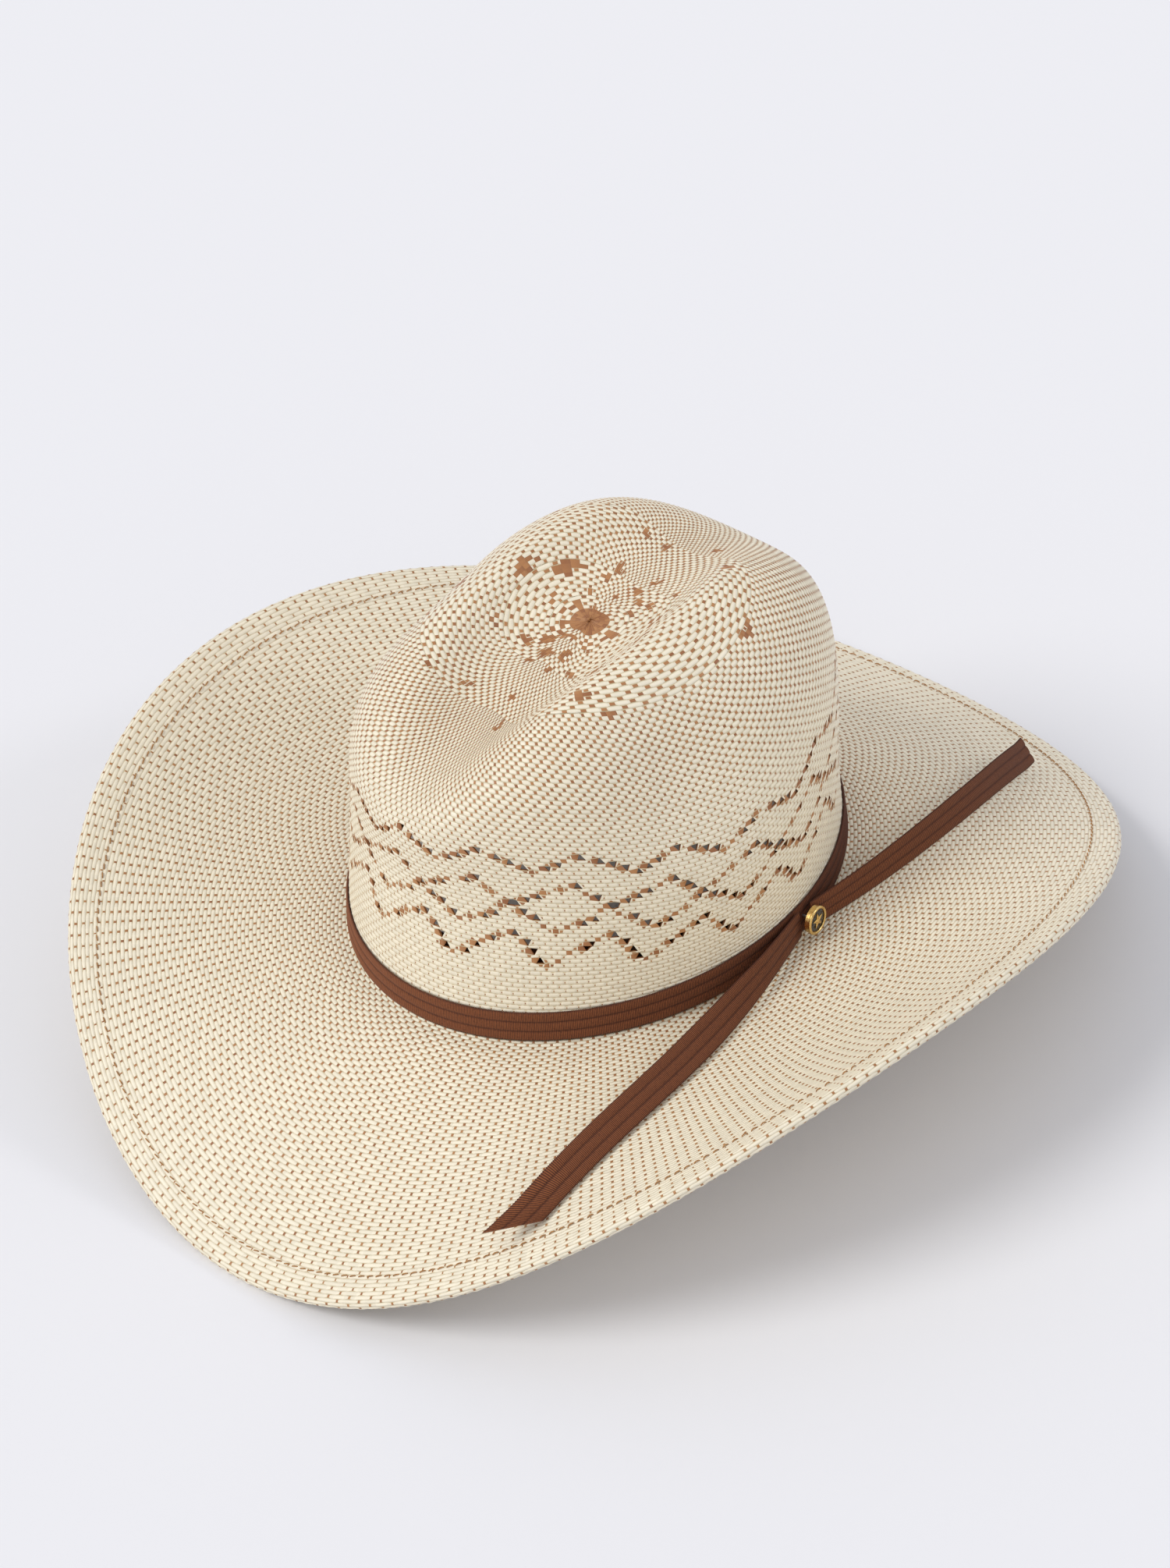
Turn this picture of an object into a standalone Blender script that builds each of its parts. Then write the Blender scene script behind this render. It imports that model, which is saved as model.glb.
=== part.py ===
"""Woven straw cowboy hat: cattleman crown, curled wired brim, ribbon band, pin and sweatband.

The hat stands on the front and back of its brim. +X is the wearer's left, -Y the front, +Z up.
Every surface is a grid over phi, the angle round the crown from the front towards the wearer's
left, and a second parameter that runs up the crown, out along the brim or across a strip.
"""
import math

import bpy
import numpy as np
from mathutils import Matrix, Vector

MM = 0.001
GAP = 0.3 * MM                      # clearance between neighbouring pieces

# Crown: closed rings from the brim break to the centre of the crease, joined by a cubic spline.
# Each ring: half width, reach to the front, reach to the back, height at the front, at the side
# and at the back, extra height at the quarters, and how much wider it is behind than in front.
CENTRE_Y = 2.0 * MM
BASE_HEIGHT = 49.5 * MM
CROWN_RINGS = np.array([
    (90.0, 102.0, 102.0, 0.0, 0.0, 0.0, 0.0, 0.0),
    (87.5, 98.0, 101.0, 30.0, 30.0, 30.0, 0.0, 0.0),
    (85.5, 90.0, 112.0, 62.0, 64.0, 62.0, 0.0, 0.0),
    (74.0, 98.5, 111.5, 92.0, 107.5, 93.5, 10.5, 0.1),
    (30.0, 68.5, 82.5, 101.0, 136.0, 111.0, 4.0, 0.1),
    (28.5, 32.0, 53.0, 106.5, 111.5, 118.0, -2.5, 0.0),
    (0.0, -14.0, 14.0, 113.0, 113.0, 113.0, 0.0, 0.0),
])
DENT_Y = -12.0 * MM                 # finger dents in the sides of the crown
DENT_HEIGHT = 92.0 * MM
DENT_LENGTH = 34.0 * MM
DENT_RISE = 26.0 * MM
DENT_DEPTH = 9.0 * MM

# Brim: outer edge as a few cosine terms of phi, and how late the brim turns up along its width.
BRIM_HALF_WIDTH = 192.4 * MM
BRIM_SQUARENESS = 1.8 * MM
BRIM_LENGTHS = (2.68 * MM, 210.4 * MM, -0.65 * MM, -1.95 * MM)
BRIM_HEIGHTS = (43.0 * MM, 5.4 * MM, -42.6 * MM, -5.4 * MM, -0.3 * MM)
BRIM_LIFT = 2.9 * MM                # brings the lowest point of the hem down to the floor
BRIM_TURN = (1.25, 2.2)
BREAK_RADIUS = 1.5 * MM

STRAW = 1.0 * MM                    # thickness of the woven straw
FOLD_RADIUS = 2.4 * MM              # outer radius of the hem, round the wire
HEM_WIDTH = 12.5 * MM
WIRE_RADIUS = 0.5 * MM
JOINER_BORE = 0.65 * MM
JOINER_WALL = 0.25 * MM
JOINER_LENGTH = 10.0 * MM
THREAD_RADIUS = 0.25 * MM

AROUND = 64                         # facets round the hat
CROWN_ROWS = (0.015, 0.028, 0.042, 0.06, 0.11, 0.18, 0.27, 0.36, 0.45, 0.53, 0.6, 0.67, 0.74, 0.82, 0.9, 0.96)
BRIM_ROWS = (0.0, 0.12, 0.26, 0.4, 0.55, 0.7, 0.85)

RIBBON_WIDTH = 13.0 * MM
RIBBON_THICK = 0.9 * MM
RIBBON_LOW = 2.6 * MM               # lower edge of the band above the brim break
TAIL_LIFT = 2.6 * MM                # loose ends over the brim
FRONT_TAIL_RESTS = ((72, 0.24), (62, 0.36), (53, 0.52), (45.5, 0.73), (40, 0.85))
BACK_TAIL_RESTS = ((116, 0.18), (126.5, 0.31), (136, 0.46), (145, 0.62), (153.5, 0.76))
TAIL_LEANS = (0, 0, 0, 10, 50, 75, 82, 84, 84)

PIN_PHI = math.radians(101.0)
PIN_RADIUS = 5.8 * MM
PIN_DEPTH = 3.2 * MM
PIN_RECESS = 1.5 * MM
PIN_STANDOFF = 1.1 * MM
ENAMEL_RADIUS = 4.5 * MM
ENAMEL_THICK = 0.6 * MM
POST_RADIUS = 0.6 * MM
POST_HOLE = 0.95 * MM
POST_TIP = 0.6 * MM                 # height of the post's point
STAR_REACH = (3.2 * MM, 1.35 * MM)  # from the centre to the points and to the notches
STAR_THICK = 0.3 * MM
RIM_ROUND = 0.3 * MM
CLUTCH_RADIUS = 5.0 * MM
CLUTCH_THICK = 1.3 * MM

SWEAT_INSET = 5.0 * MM              # outer face of the leather, inside the crown's outer face
SWEAT_LEAN = 1.5 * MM
SWEAT_THICK = 1.0 * MM
SWEAT_LOW = 1.0 * MM
SWEAT_HEIGHT = 36.0 * MM
REED_RADIUS = 0.9 * MM
REED_DROP = 1.2 * MM
TAPE_THICK = 0.5 * MM
TAPE_WIDTH = 3.6 * MM
PAD_HALF_ANGLE = math.radians(42.0)
PAD_THICK = 3.0 * MM

COLLECTION = bpy.data.collections.new("cowboy_hat")
CUTTERS = bpy.data.collections.new("cutters")


def finish(name, rgb, roughness, metallic=0.0):
    """Principled material with one colour."""
    material = bpy.data.materials.new(name)
    material.use_nodes = True
    shader = material.node_tree.nodes["Principled BSDF"]
    shader.inputs["Base Color"].default_value = (*rgb, 1.0)
    shader.inputs["Roughness"].default_value = roughness
    shader.inputs["Metallic"].default_value = metallic
    return material


def unit(vectors):
    """Vectors scaled to length one."""
    return vectors / np.linalg.norm(vectors, axis=-1, keepdims=True)


def round_the_hat(front, side, back, phi):
    """A smooth value round the hat from its values at the front, the sides and the back."""
    mean = (front + 2 * side + back) / 4
    return mean + (front - back) / 2 * np.cos(phi) + (front + back - 2 * side) / 4 * np.cos(2 * phi)


def ring_points(ring, phi):
    """One closed ring of the crown."""
    half_width, front, back, low, middle, high, quarter, swell = ring
    x = half_width * np.sin(phi) * (1 - swell * np.cos(phi))
    y = (back - front) / 2 - (front + back) / 2 * np.cos(phi)
    z = round_the_hat(low, middle, high, phi) + quarter * (1 - np.cos(4 * phi)) / 2
    return np.stack([x, y, z], axis=-1) * MM + np.array([0.0, CENTRE_Y, BASE_HEIGHT])


def spline_weights(u, count):
    """Weights of a clamped cubic B-spline with count control points."""
    knots = np.concatenate([np.zeros(3), np.linspace(0.0, 1.0, count - 2), np.ones(3)])
    u = np.clip(u, 0.0, 1.0 - 1e-9)
    basis = [((u >= low) & (u < high)) * 1.0 for low, high in zip(knots[:-1], knots[1:])]
    for degree in range(1, 4):
        for i in range(len(knots) - 1 - degree):
            rise = knots[i + degree] - knots[i]
            fall = knots[i + degree + 1] - knots[i + 1]
            left = (u - knots[i]) / rise * basis[i] if rise > 0 else 0.0
            right = (knots[i + degree + 1] - u) / fall * basis[i + 1] if fall > 0 else 0.0
            basis[i] = left + right
    return basis[:count]


def crown(phi, u):
    """Outer face of the crown, u from 0 at the brim break to 1 at the centre of the crease."""
    phi, u = np.broadcast_arrays(np.asarray(phi, float), np.asarray(u, float))
    weights = spline_weights(u, len(CROWN_RINGS))
    points = sum(w[..., None] * ring_points(ring, phi) for w, ring in zip(weights, CROWN_RINGS))
    along = (points[..., 1] - CENTRE_Y - DENT_Y) / DENT_LENGTH
    above = (points[..., 2] - BASE_HEIGHT - DENT_HEIGHT) / DENT_RISE
    wall = 1.0 / (1.0 + np.exp((u - 0.68) / 0.03))
    push = DENT_DEPTH * np.exp(-along ** 2 - above ** 2) * wall * np.sin(phi) ** 2
    points[..., 0] -= np.sign(np.sin(phi)) * push
    return points


def wall_out(phi):
    """Horizontal direction out of the crown's wall."""
    return unit(np.stack([np.sin(phi) / 90.0, -np.cos(phi) / 102.0, 0.0 * phi], axis=-1))


def wall(phi, height, inset):
    """Point of the crown's wall at a height above the brim break, moved inwards by inset."""
    phi, height = np.broadcast_arrays(np.asarray(phi, float), np.asarray(height, float))
    samples = np.linspace(0.0, 0.5, 240)
    points = crown(phi.ravel()[:, None], samples[None, :])
    rise = points[..., 2] - BASE_HEIGHT
    found = np.array([[np.interp(h, line, p[:, axis]) for axis in range(3)]
                      for h, line, p in zip(height.ravel(), rise, points)])
    found[:, 2] = BASE_HEIGHT + height.ravel()
    found -= wall_out(phi.ravel()) * np.ravel(np.broadcast_to(inset, phi.shape))[:, None]
    return found.reshape(phi.shape + (3,))


def brim_edge(phi):
    """Outer edge of the brim."""
    x = BRIM_HALF_WIDTH * np.sin(phi) + BRIM_SQUARENESS * np.sin(3 * phi)
    y = CENTRE_Y - sum(size * np.cos(k * phi) for k, size in enumerate(BRIM_LENGTHS))
    z = BRIM_LIFT + sum(size * np.cos(k * phi) for k, size in enumerate(BRIM_HEIGHTS))
    return np.stack([x, y, z], axis=-1)


def brim(phi, t):
    """Upper face of the brim, t from 0 just outside the break to 1 at the edge."""
    phi, t = np.broadcast_arrays(np.asarray(phi, float), np.asarray(t, float))
    start = crown(phi, 0.0 * phi) + wall_out(phi) * BREAK_RADIUS
    end = brim_edge(phi)
    points = start + (end - start) * t[..., None]
    power = BRIM_TURN[0] + (BRIM_TURN[1] - BRIM_TURN[0]) * np.sin(phi) ** 2
    points[..., 2] = start[..., 2] + (end[..., 2] - start[..., 2]) * t ** power
    return points


def brim_frame(phi, t):
    """Directions out along the brim and up from its face."""
    step = 1e-4
    outward = unit(brim(phi, t + step) - brim(phi, t - step))
    around = unit(brim(phi + step, t) - brim(phi - step, t))
    upward = unit(np.cross(outward, around))
    return outward, upward * np.sign(upward[..., 2:3])


def brim_width(phi):
    """Width of the brim along its face."""
    line = brim(np.asarray(phi, float)[..., None], np.linspace(0.0, 1.0, 30))
    return np.linalg.norm(np.diff(line, axis=-2), axis=-1).sum(axis=-1)


def above_brim(phi, from_edge, lift):
    """Point over the brim at a distance from its edge, lifted off its face."""
    t = 1.0 - from_edge / brim_width(phi)
    return brim(phi, t) + brim_frame(phi, t)[1] * lift


def around_hat(count=AROUND):
    """Angles round the hat, with a facet centred on the front and one on the back."""
    return (np.arange(count) + 0.5) * 2 * math.pi / count


def add_object(name, mesh, material):
    """Place a mesh object in the part's collection."""
    mesh.materials.append(material)
    piece = bpy.data.objects.new(name, mesh)
    COLLECTION.objects.link(piece)
    return piece


def grid_mesh(name, rows, closed, tip=None):
    """Open surface through rows of points; closed joins each row's ends, tip closes the last."""
    rows = np.asarray(rows)
    count, width = rows.shape[:2]
    points = [tuple(p) for p in rows.reshape(-1, 3)]
    span = width if closed else width - 1
    faces = []
    for i in range(count - 1):
        for j in range(span):
            k = (j + 1) % width
            faces.append((i * width + j, i * width + k, (i + 1) * width + k, (i + 1) * width + j))
    if tip is not None:
        points.append(tuple(tip))
        last = (count - 1) * width
        faces += [(last + j, last + (j + 1) % width, len(points) - 1) for j in range(span)]
    mesh = bpy.data.meshes.new(name)
    mesh.from_pydata(points, [], faces)
    mesh.update()
    mesh.shade_smooth()
    return mesh


def sheet(name, rows, closed, thick, material, tip=None):
    """Thin piece: a surface whose thickness lies behind its normals."""
    piece = add_object(name, grid_mesh(name, rows, closed, tip), material)
    solid = piece.modifiers.new("thickness", "SOLIDIFY")
    solid.thickness = thick
    solid.offset = -1.0
    solid.use_even_offset = True
    return piece


def tube(name, points, radius, closed, material, rings=1):
    """Round wire or thread along points."""
    curve = bpy.data.curves.new(name, "CURVE")
    curve.dimensions = "3D"
    curve.bevel_depth = radius
    curve.bevel_resolution = rings
    curve.use_fill_caps = True
    line = curve.splines.new("POLY")
    line.points.add(len(points) - 1)
    line.points.foreach_set("co", np.c_[points, np.ones(len(points))].ravel())
    line.use_cyclic_u = closed
    curve.materials.append(material)
    piece = bpy.data.objects.new(name, curve)
    COLLECTION.objects.link(piece)
    return piece


def turned(name, profile, steps, material, place):
    """Turned piece: a closed profile of (radius, height) pairs spun about its axis."""
    mesh = bpy.data.meshes.new(name)
    points = [(radius, 0.0, height) for radius, height in profile]
    mesh.from_pydata(points, [(i, i + 1) for i in range(len(points) - 1)], [])
    piece = add_object(name, mesh, material)
    spin = piece.modifiers.new("spin", "SCREW")
    spin.steps = steps
    spin.render_steps = steps
    spin.use_merge_vertices = True
    spin.merge_threshold = 0.00001
    piece.matrix_world = place
    return piece


def pierce(piece, cutter):
    """Cut the pin's hole through a piece."""
    cut = piece.modifiers.new("post_hole", "BOOLEAN")
    cut.operation = "DIFFERENCE"
    cut.object = cutter


def build_straw(material):
    """Crown, brim and folded hem as one woven body."""
    phi = around_hat()
    rows = []
    edge_t = 1.0 - FOLD_RADIUS / brim_width(phi)
    flap_drop = (2 * STRAW + GAP, 2 * STRAW + GAP * 4)
    for back, drop in zip((HEM_WIDTH, HEM_WIDTH / 2), flap_drop):
        rows.append(above_brim(phi, FOLD_RADIUS + back, -drop))
    outward, upward = brim_frame(phi, edge_t)
    middle = brim(phi, edge_t) - upward * FOLD_RADIUS
    for turn in np.radians((180, 135, 90, 45)):
        rows.append(middle + FOLD_RADIUS * (math.cos(turn) * upward + math.sin(turn) * outward))
    for t in reversed((*BRIM_ROWS, 1.0)):
        rows.append(brim(phi, t * edge_t))
    low = wall(phi, BREAK_RADIUS, 0.0)
    rows.append((rows[-1] + low) / 2 - wall_out(phi) * 0.2 * BREAK_RADIUS
                - np.array([0.0, 0.0, 0.2 * BREAK_RADIUS]))
    for u in CROWN_ROWS:
        rows.append(crown(phi, u))
    return sheet("straw_body", rows, True, STRAW, material, tip=crown(0.0, 1.0))


def build_wire(wire_material, joiner_material):
    """Steel wire in the hem, its ends joined by a sleeve at the back."""
    reach = 0.5 * GAP / BRIM_HALF_WIDTH

    def centre(phi):
        """Middle of the fold at the brim's edge."""
        t = 1.0 - FOLD_RADIUS / brim_width(phi)
        return brim(phi, t) - brim_frame(phi, t)[1] * FOLD_RADIUS

    phi = np.concatenate([[math.pi + reach], np.linspace(math.pi, 3 * math.pi, 97)[1:-1],
                          [3 * math.pi - reach]])
    tube("brim_wire", centre(phi), WIRE_RADIUS, False, wire_material)
    half = JOINER_LENGTH / 2 / BRIM_HALF_WIDTH
    stations = math.pi + np.linspace(-half, half, 7)
    along = unit(np.gradient(centre(stations), axis=0))
    side = unit(np.cross(along, np.array([0.0, 0.0, 1.0])))
    lift = np.cross(side, along)
    rows = []
    for turn in np.linspace(2 * math.pi, 0.0, 13)[:-1]:
        offset = math.cos(turn) * side + math.sin(turn) * lift
        rows.append(centre(stations) + offset * (JOINER_BORE + JOINER_WALL))
    rows = np.swapaxes(np.array(rows), 0, 1)
    sheet("brim_wire_joiner", rows, True, JOINER_WALL, joiner_material)


def build_band(material):
    """Ribbon round the foot of the crown."""
    phi = around_hat(96)
    heights = RIBBON_LOW + RIBBON_WIDTH * np.linspace(0.0, 1.0, 4)
    rows = [wall(phi, height, -GAP - RIBBON_THICK) for height in heights]
    return sheet("hatband_ribbon", rows, True, RIBBON_THICK, material)


def beside_pin(distance):
    """Point on the tangent of the crown at the pin, level with the band's lower edge."""
    out = wall_out(np.array(PIN_PHI))
    along = np.cross((0.0, 0.0, 1.0), out)
    return wall(PIN_PHI, RIBBON_LOW, 0.0) + along * distance


def build_tail(name, distances, rests, leans, layer, material):
    """Loose ribbon end, from the pin's tangent to the brim.

    Its lower edge runs past the pin at the distances, then over the brim at the rests (phi in
    degrees, share of the brim's width); it leans from upright at the pin to nearly flat.
    """
    route = [beside_pin(distance) for distance in distances]
    for degrees, t in rests:
        phi = np.array(math.radians(degrees))
        route.append(brim(phi, t) + brim_frame(phi, t)[1] * TAIL_LIFT)
    fine = np.linspace(0.0, 1.0, 25)
    lower = sum(w[:, None] * point for w, point in zip(spline_weights(fine, len(route)), route))
    angle = np.radians(np.interp(fine, np.linspace(0.0, 1.0, len(leans)), leans))
    along = unit(np.gradient(lower, axis=0))
    flat = unit(np.cross(along, np.array([0.0, 0.0, 1.0])))
    flat *= np.sign(flat[:, :1])
    rise = np.cos(angle)[:, None] * np.array([0.0, 0.0, 1.0]) - np.sin(angle)[:, None] * flat
    lower += flat * layer * np.cos(angle)[:, None]
    rows = [lower, lower + rise * RIBBON_WIDTH]
    if along[0, 1] < 0:
        rows.reverse()
    return sheet(name, rows, False, RIBBON_THICK, material)


def pin_place(depth):
    """Matrix at the pin: local Z points out of the crown, depth along it from the crown's face."""
    height = RIBBON_LOW + RIBBON_WIDTH / 2
    point = wall(PIN_PHI, height, -depth)
    out = Vector(wall_out(np.array(PIN_PHI)))
    turn = out.to_track_quat("Z", "Y").to_matrix().to_4x4()
    return Matrix.Translation(Vector(point)) @ turn


def build_pin(gold, enamel, steel, layers):
    """Round tack pin: cup with a rim, enamel disc, raised star, post and clutch."""
    back = layers + GAP
    cup = pin_place(back)
    floor = PIN_DEPTH - PIN_RECESS
    inner = ENAMEL_RADIUS + GAP
    profile = [(0.0, floor), (inner, floor), (inner, PIN_DEPTH - RIM_ROUND),
               (inner + RIM_ROUND, PIN_DEPTH), (PIN_RADIUS - 1.3 * RIM_ROUND, PIN_DEPTH - 0.7 * RIM_ROUND),
               (PIN_RADIUS, PIN_DEPTH - 2.7 * RIM_ROUND), (PIN_RADIUS - 0.7 * RIM_ROUND, 1.3 * RIM_ROUND),
               (PIN_RADIUS - 2.7 * RIM_ROUND, 0.0), (0.0, 0.0)]
    turned("pin_bezel", profile, 32, gold, cup)
    disc = [(0.0, floor + GAP + ENAMEL_THICK), (ENAMEL_RADIUS, floor + GAP + ENAMEL_THICK),
            (ENAMEL_RADIUS, floor + GAP), (0.0, floor + GAP)]
    turned("pin_enamel_face", disc, 32, enamel, cup)
    points = []
    for k in range(10):
        radius = STAR_REACH[k % 2]
        angle = math.pi / 2 + k * math.pi / 5
        points.append((radius * math.cos(angle), radius * math.sin(angle), 0.0))
    star = flat_outline("pin_star", points, STAR_THICK, gold)
    raised = floor + 2 * GAP + ENAMEL_THICK + STAR_THICK / 2
    star.matrix_world = cup @ Matrix.Translation((0.0, 0.0, raised))
    inside = STRAW + 3 * GAP + CLUTCH_THICK
    end = -back - inside - 0.2 * MM
    post = [(0.0, -GAP), (POST_RADIUS, -GAP), (POST_RADIUS, end + POST_TIP), (0.0, end)]
    turned("pin_post", post, 16, steel, cup)
    plate = pin_place(-STRAW - 3 * GAP - CLUTCH_THICK)
    hole = POST_RADIUS + GAP
    clutch = [(hole, CLUTCH_THICK), (CLUTCH_RADIUS, CLUTCH_THICK), (CLUTCH_RADIUS, 0.7 * MM),
              (CLUTCH_RADIUS - 1.2 * MM, 0.0), (hole, 0.0), (hole, CLUTCH_THICK)]
    turned("pin_clutch", clutch, 24, gold, plate)


def flat_outline(name, points, thick, material):
    """Flat piece cut to an outline."""
    curve = bpy.data.curves.new(name, "CURVE")
    curve.dimensions = "2D"
    curve.fill_mode = "BOTH"
    curve.extrude = thick / 2
    line = curve.splines.new("POLY")
    line.points.add(len(points) - 1)
    line.points.foreach_set("co", np.c_[points, np.ones(len(points))].ravel())
    line.use_cyclic_u = True
    curve.materials.append(material)
    piece = bpy.data.objects.new(name, curve)
    COLLECTION.objects.link(piece)
    return piece


def build_sweatband(leather, plastic, cloth, thread):
    """Leather band inside the crown, with the reed in its taped lower edge."""
    phi = around_hat()
    low = wall(phi, SWEAT_LOW, SWEAT_INSET)
    mid = wall(phi, SWEAT_LOW + SWEAT_HEIGHT / 2, SWEAT_INSET + SWEAT_LEAN / 3)
    high = wall(phi, SWEAT_LOW + SWEAT_HEIGHT, SWEAT_INSET + SWEAT_LEAN)
    sheet("sweatband", [low, mid, high], True, SWEAT_THICK, leather)
    centre = SWEAT_INSET + SWEAT_THICK / 2
    tube("sweatband_reed", wall(phi, -REED_DROP, centre), REED_RADIUS, True, plastic)
    floor = -REED_DROP - REED_RADIUS - GAP - TAPE_THICK
    top = SWEAT_LOW - GAP
    outer = centre - TAPE_WIDTH / 2
    inner = centre + TAPE_WIDTH / 2
    rows = [wall(phi, top, inner), wall(phi, floor, inner), wall(phi, floor, outer),
            wall(phi, top, outer)]
    sheet("reed_tape", rows, True, TAPE_THICK, cloth)
    inset = SWEAT_INSET + SWEAT_THICK + GAP + 2 * THREAD_RADIUS
    tube("sweatband_stitching", wall(phi, SWEAT_LOW + 3 * MM, inset), THREAD_RADIUS, True, thread, 0)


def wall_patch(name, middle, half_angle, low, high, inset, thick, material, count=5):
    """Piece that lies against the wall between two heights."""
    phi = middle + np.linspace(-half_angle, half_angle, count)
    rows = [wall(phi, height, inset) for height in np.linspace(low, high, 3)]
    return sheet(name, rows, False, thick, material)


def build_inner_trim(foam, cloth, paper, satin):
    """Forehead pad, seam patch and size tag behind the sweatband, and the bow on its seam."""
    wall_patch("front_padding", 0.0, PAD_HALF_ANGLE, 4 * MM, 33 * MM, STRAW + GAP, PAD_THICK, foam, 17)
    wall_patch("back_seam_patch", math.pi, math.radians(6), 4 * MM, 32 * MM,
               SWEAT_INSET - 0.9 * MM, 0.5 * MM, cloth)
    wall_patch("size_tag", math.radians(150), math.radians(3.5), 10 * MM, 46 * MM, 2.4 * MM,
               0.4 * MM, paper)
    points = []
    for turn in np.linspace(0.0, 2 * math.pi, 25)[:-1]:
        x = 13 * MM * math.cos(turn)
        y = (1.4 + 4.6 * abs(math.cos(turn)) ** 1.5) * MM * math.sin(turn)
        points.append((x, y, 0.0))
    bow = flat_outline("sweatband_bow", points, 1.2 * MM, satin)
    inset = SWEAT_INSET + SWEAT_LEAN / 3 + SWEAT_THICK + 5 * GAP
    spot = Vector(wall(math.pi, 12 * MM, inset))
    bow.matrix_world = Matrix.Translation(spot) @ Matrix.Rotation(math.pi / 2, 4, "X")


def build():
    """Make every piece of the hat."""
    for old in list(bpy.data.objects):
        bpy.data.objects.remove(old)
    bpy.context.scene.collection.children.link(COLLECTION)
    bpy.context.scene.collection.children.link(CUTTERS)
    straw = finish("woven_straw", (0.88, 0.80, 0.62), 0.45)
    ribbon = finish("grosgrain_ribbon", (0.12, 0.035, 0.014), 0.7)
    gold = finish("gold_plate", (0.83, 0.62, 0.27), 0.25, 1.0)
    enamel = finish("black_enamel", (0.01, 0.01, 0.012), 0.15)
    steel = finish("spring_steel", (0.55, 0.55, 0.56), 0.35, 1.0)
    leather = finish("sweatband_leather", (0.36, 0.2, 0.1), 0.55)
    plastic = finish("clear_plastic", (0.75, 0.74, 0.7), 0.4)
    cloth = finish("cotton_tape", (0.2, 0.09, 0.05), 0.85)
    thread = finish("tan_thread", (0.6, 0.36, 0.17), 0.7)
    foam = finish("foam", (0.7, 0.68, 0.62), 0.9)
    paper = finish("blank_paper", (0.85, 0.84, 0.8), 0.8)

    body = build_straw(straw)
    build_wire(steel, plastic)
    seam = above_brim(around_hat(), FOLD_RADIUS + HEM_WIDTH - 1.5 * MM, 2 * GAP + THREAD_RADIUS)
    tube("hem_stitching", seam, THREAD_RADIUS, True, thread, 0)
    band = build_band(ribbon)
    layer = GAP + RIBBON_THICK
    front = build_tail("ribbon_tail_front", (4 * MM, -4 * MM, -12 * MM, -22 * MM), FRONT_TAIL_RESTS,
                       TAIL_LEANS, 2 * layer, ribbon)
    back = build_tail("ribbon_tail_back", (-4 * MM, 4 * MM, 12 * MM, 22 * MM), BACK_TAIL_RESTS,
                      TAIL_LEANS, 3 * layer, ribbon)
    build_pin(gold, enamel, steel, 3 * layer + PIN_STANDOFF)
    bpy.ops.mesh.primitive_cylinder_add(vertices=16, radius=POST_HOLE, depth=16 * MM)
    cutter = bpy.context.object
    cutter.name = "post_hole_cutter"
    cutter.matrix_world = pin_place(0.0)
    cutter.display_type = "WIRE"
    cutter.hide_render = True
    for collection in cutter.users_collection:
        collection.objects.unlink(cutter)
    CUTTERS.objects.link(cutter)
    for piece in (body, band, front, back):
        pierce(piece, cutter)
    pivot = bpy.data.objects.new("pin_axis", None)
    pivot.matrix_world = pin_place(0.0)
    COLLECTION.objects.link(pivot)
    for piece in (front, back):
        piece.parent = pivot
        piece.matrix_parent_inverse = pivot.matrix_world.inverted()
    build_sweatband(leather, plastic, cloth, thread)
    build_inner_trim(foam, cloth, paper, ribbon)


build()
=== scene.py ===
"""Woven straw cowboy hat, finished over its frame.

The straw is a plain weave of brown strands that run out from the top of the crown and cream
courses that run round it. Every surface is a formula of two parameters: the angle round the hat,
from the front towards the wearer's left, and the distance up the crown, out along the brim or
across a strip. Lengths are in metres.
"""
import logging
import math
from dataclasses import dataclass, field
from enum import Enum
from typing import Any, Callable

import bmesh
import bpy
import numpy as np
from mathutils import Matrix, Vector


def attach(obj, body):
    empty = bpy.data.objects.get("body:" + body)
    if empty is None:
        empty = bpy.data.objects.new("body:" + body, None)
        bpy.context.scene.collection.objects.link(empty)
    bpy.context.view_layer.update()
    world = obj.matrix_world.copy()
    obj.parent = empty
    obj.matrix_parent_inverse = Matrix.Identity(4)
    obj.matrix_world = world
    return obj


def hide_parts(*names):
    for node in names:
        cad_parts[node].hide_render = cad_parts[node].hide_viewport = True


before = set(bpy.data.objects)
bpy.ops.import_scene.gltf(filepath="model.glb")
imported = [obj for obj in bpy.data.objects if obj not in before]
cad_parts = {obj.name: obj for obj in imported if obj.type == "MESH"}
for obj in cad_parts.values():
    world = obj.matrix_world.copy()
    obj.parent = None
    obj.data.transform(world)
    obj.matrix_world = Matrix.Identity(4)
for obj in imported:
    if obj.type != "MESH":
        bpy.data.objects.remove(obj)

LOG = logging.getLogger("cowboy_hat")
MM = 0.001
GAP = 0.3 * MM
Array = np.ndarray


# ---------------------------------------------------------------- shape of the hat


def unit(vectors: Array) -> Array:
    """Vectors scaled to length one."""
    return vectors / np.maximum(np.linalg.norm(vectors, axis=-1, keepdims=True), 1e-12)


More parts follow.
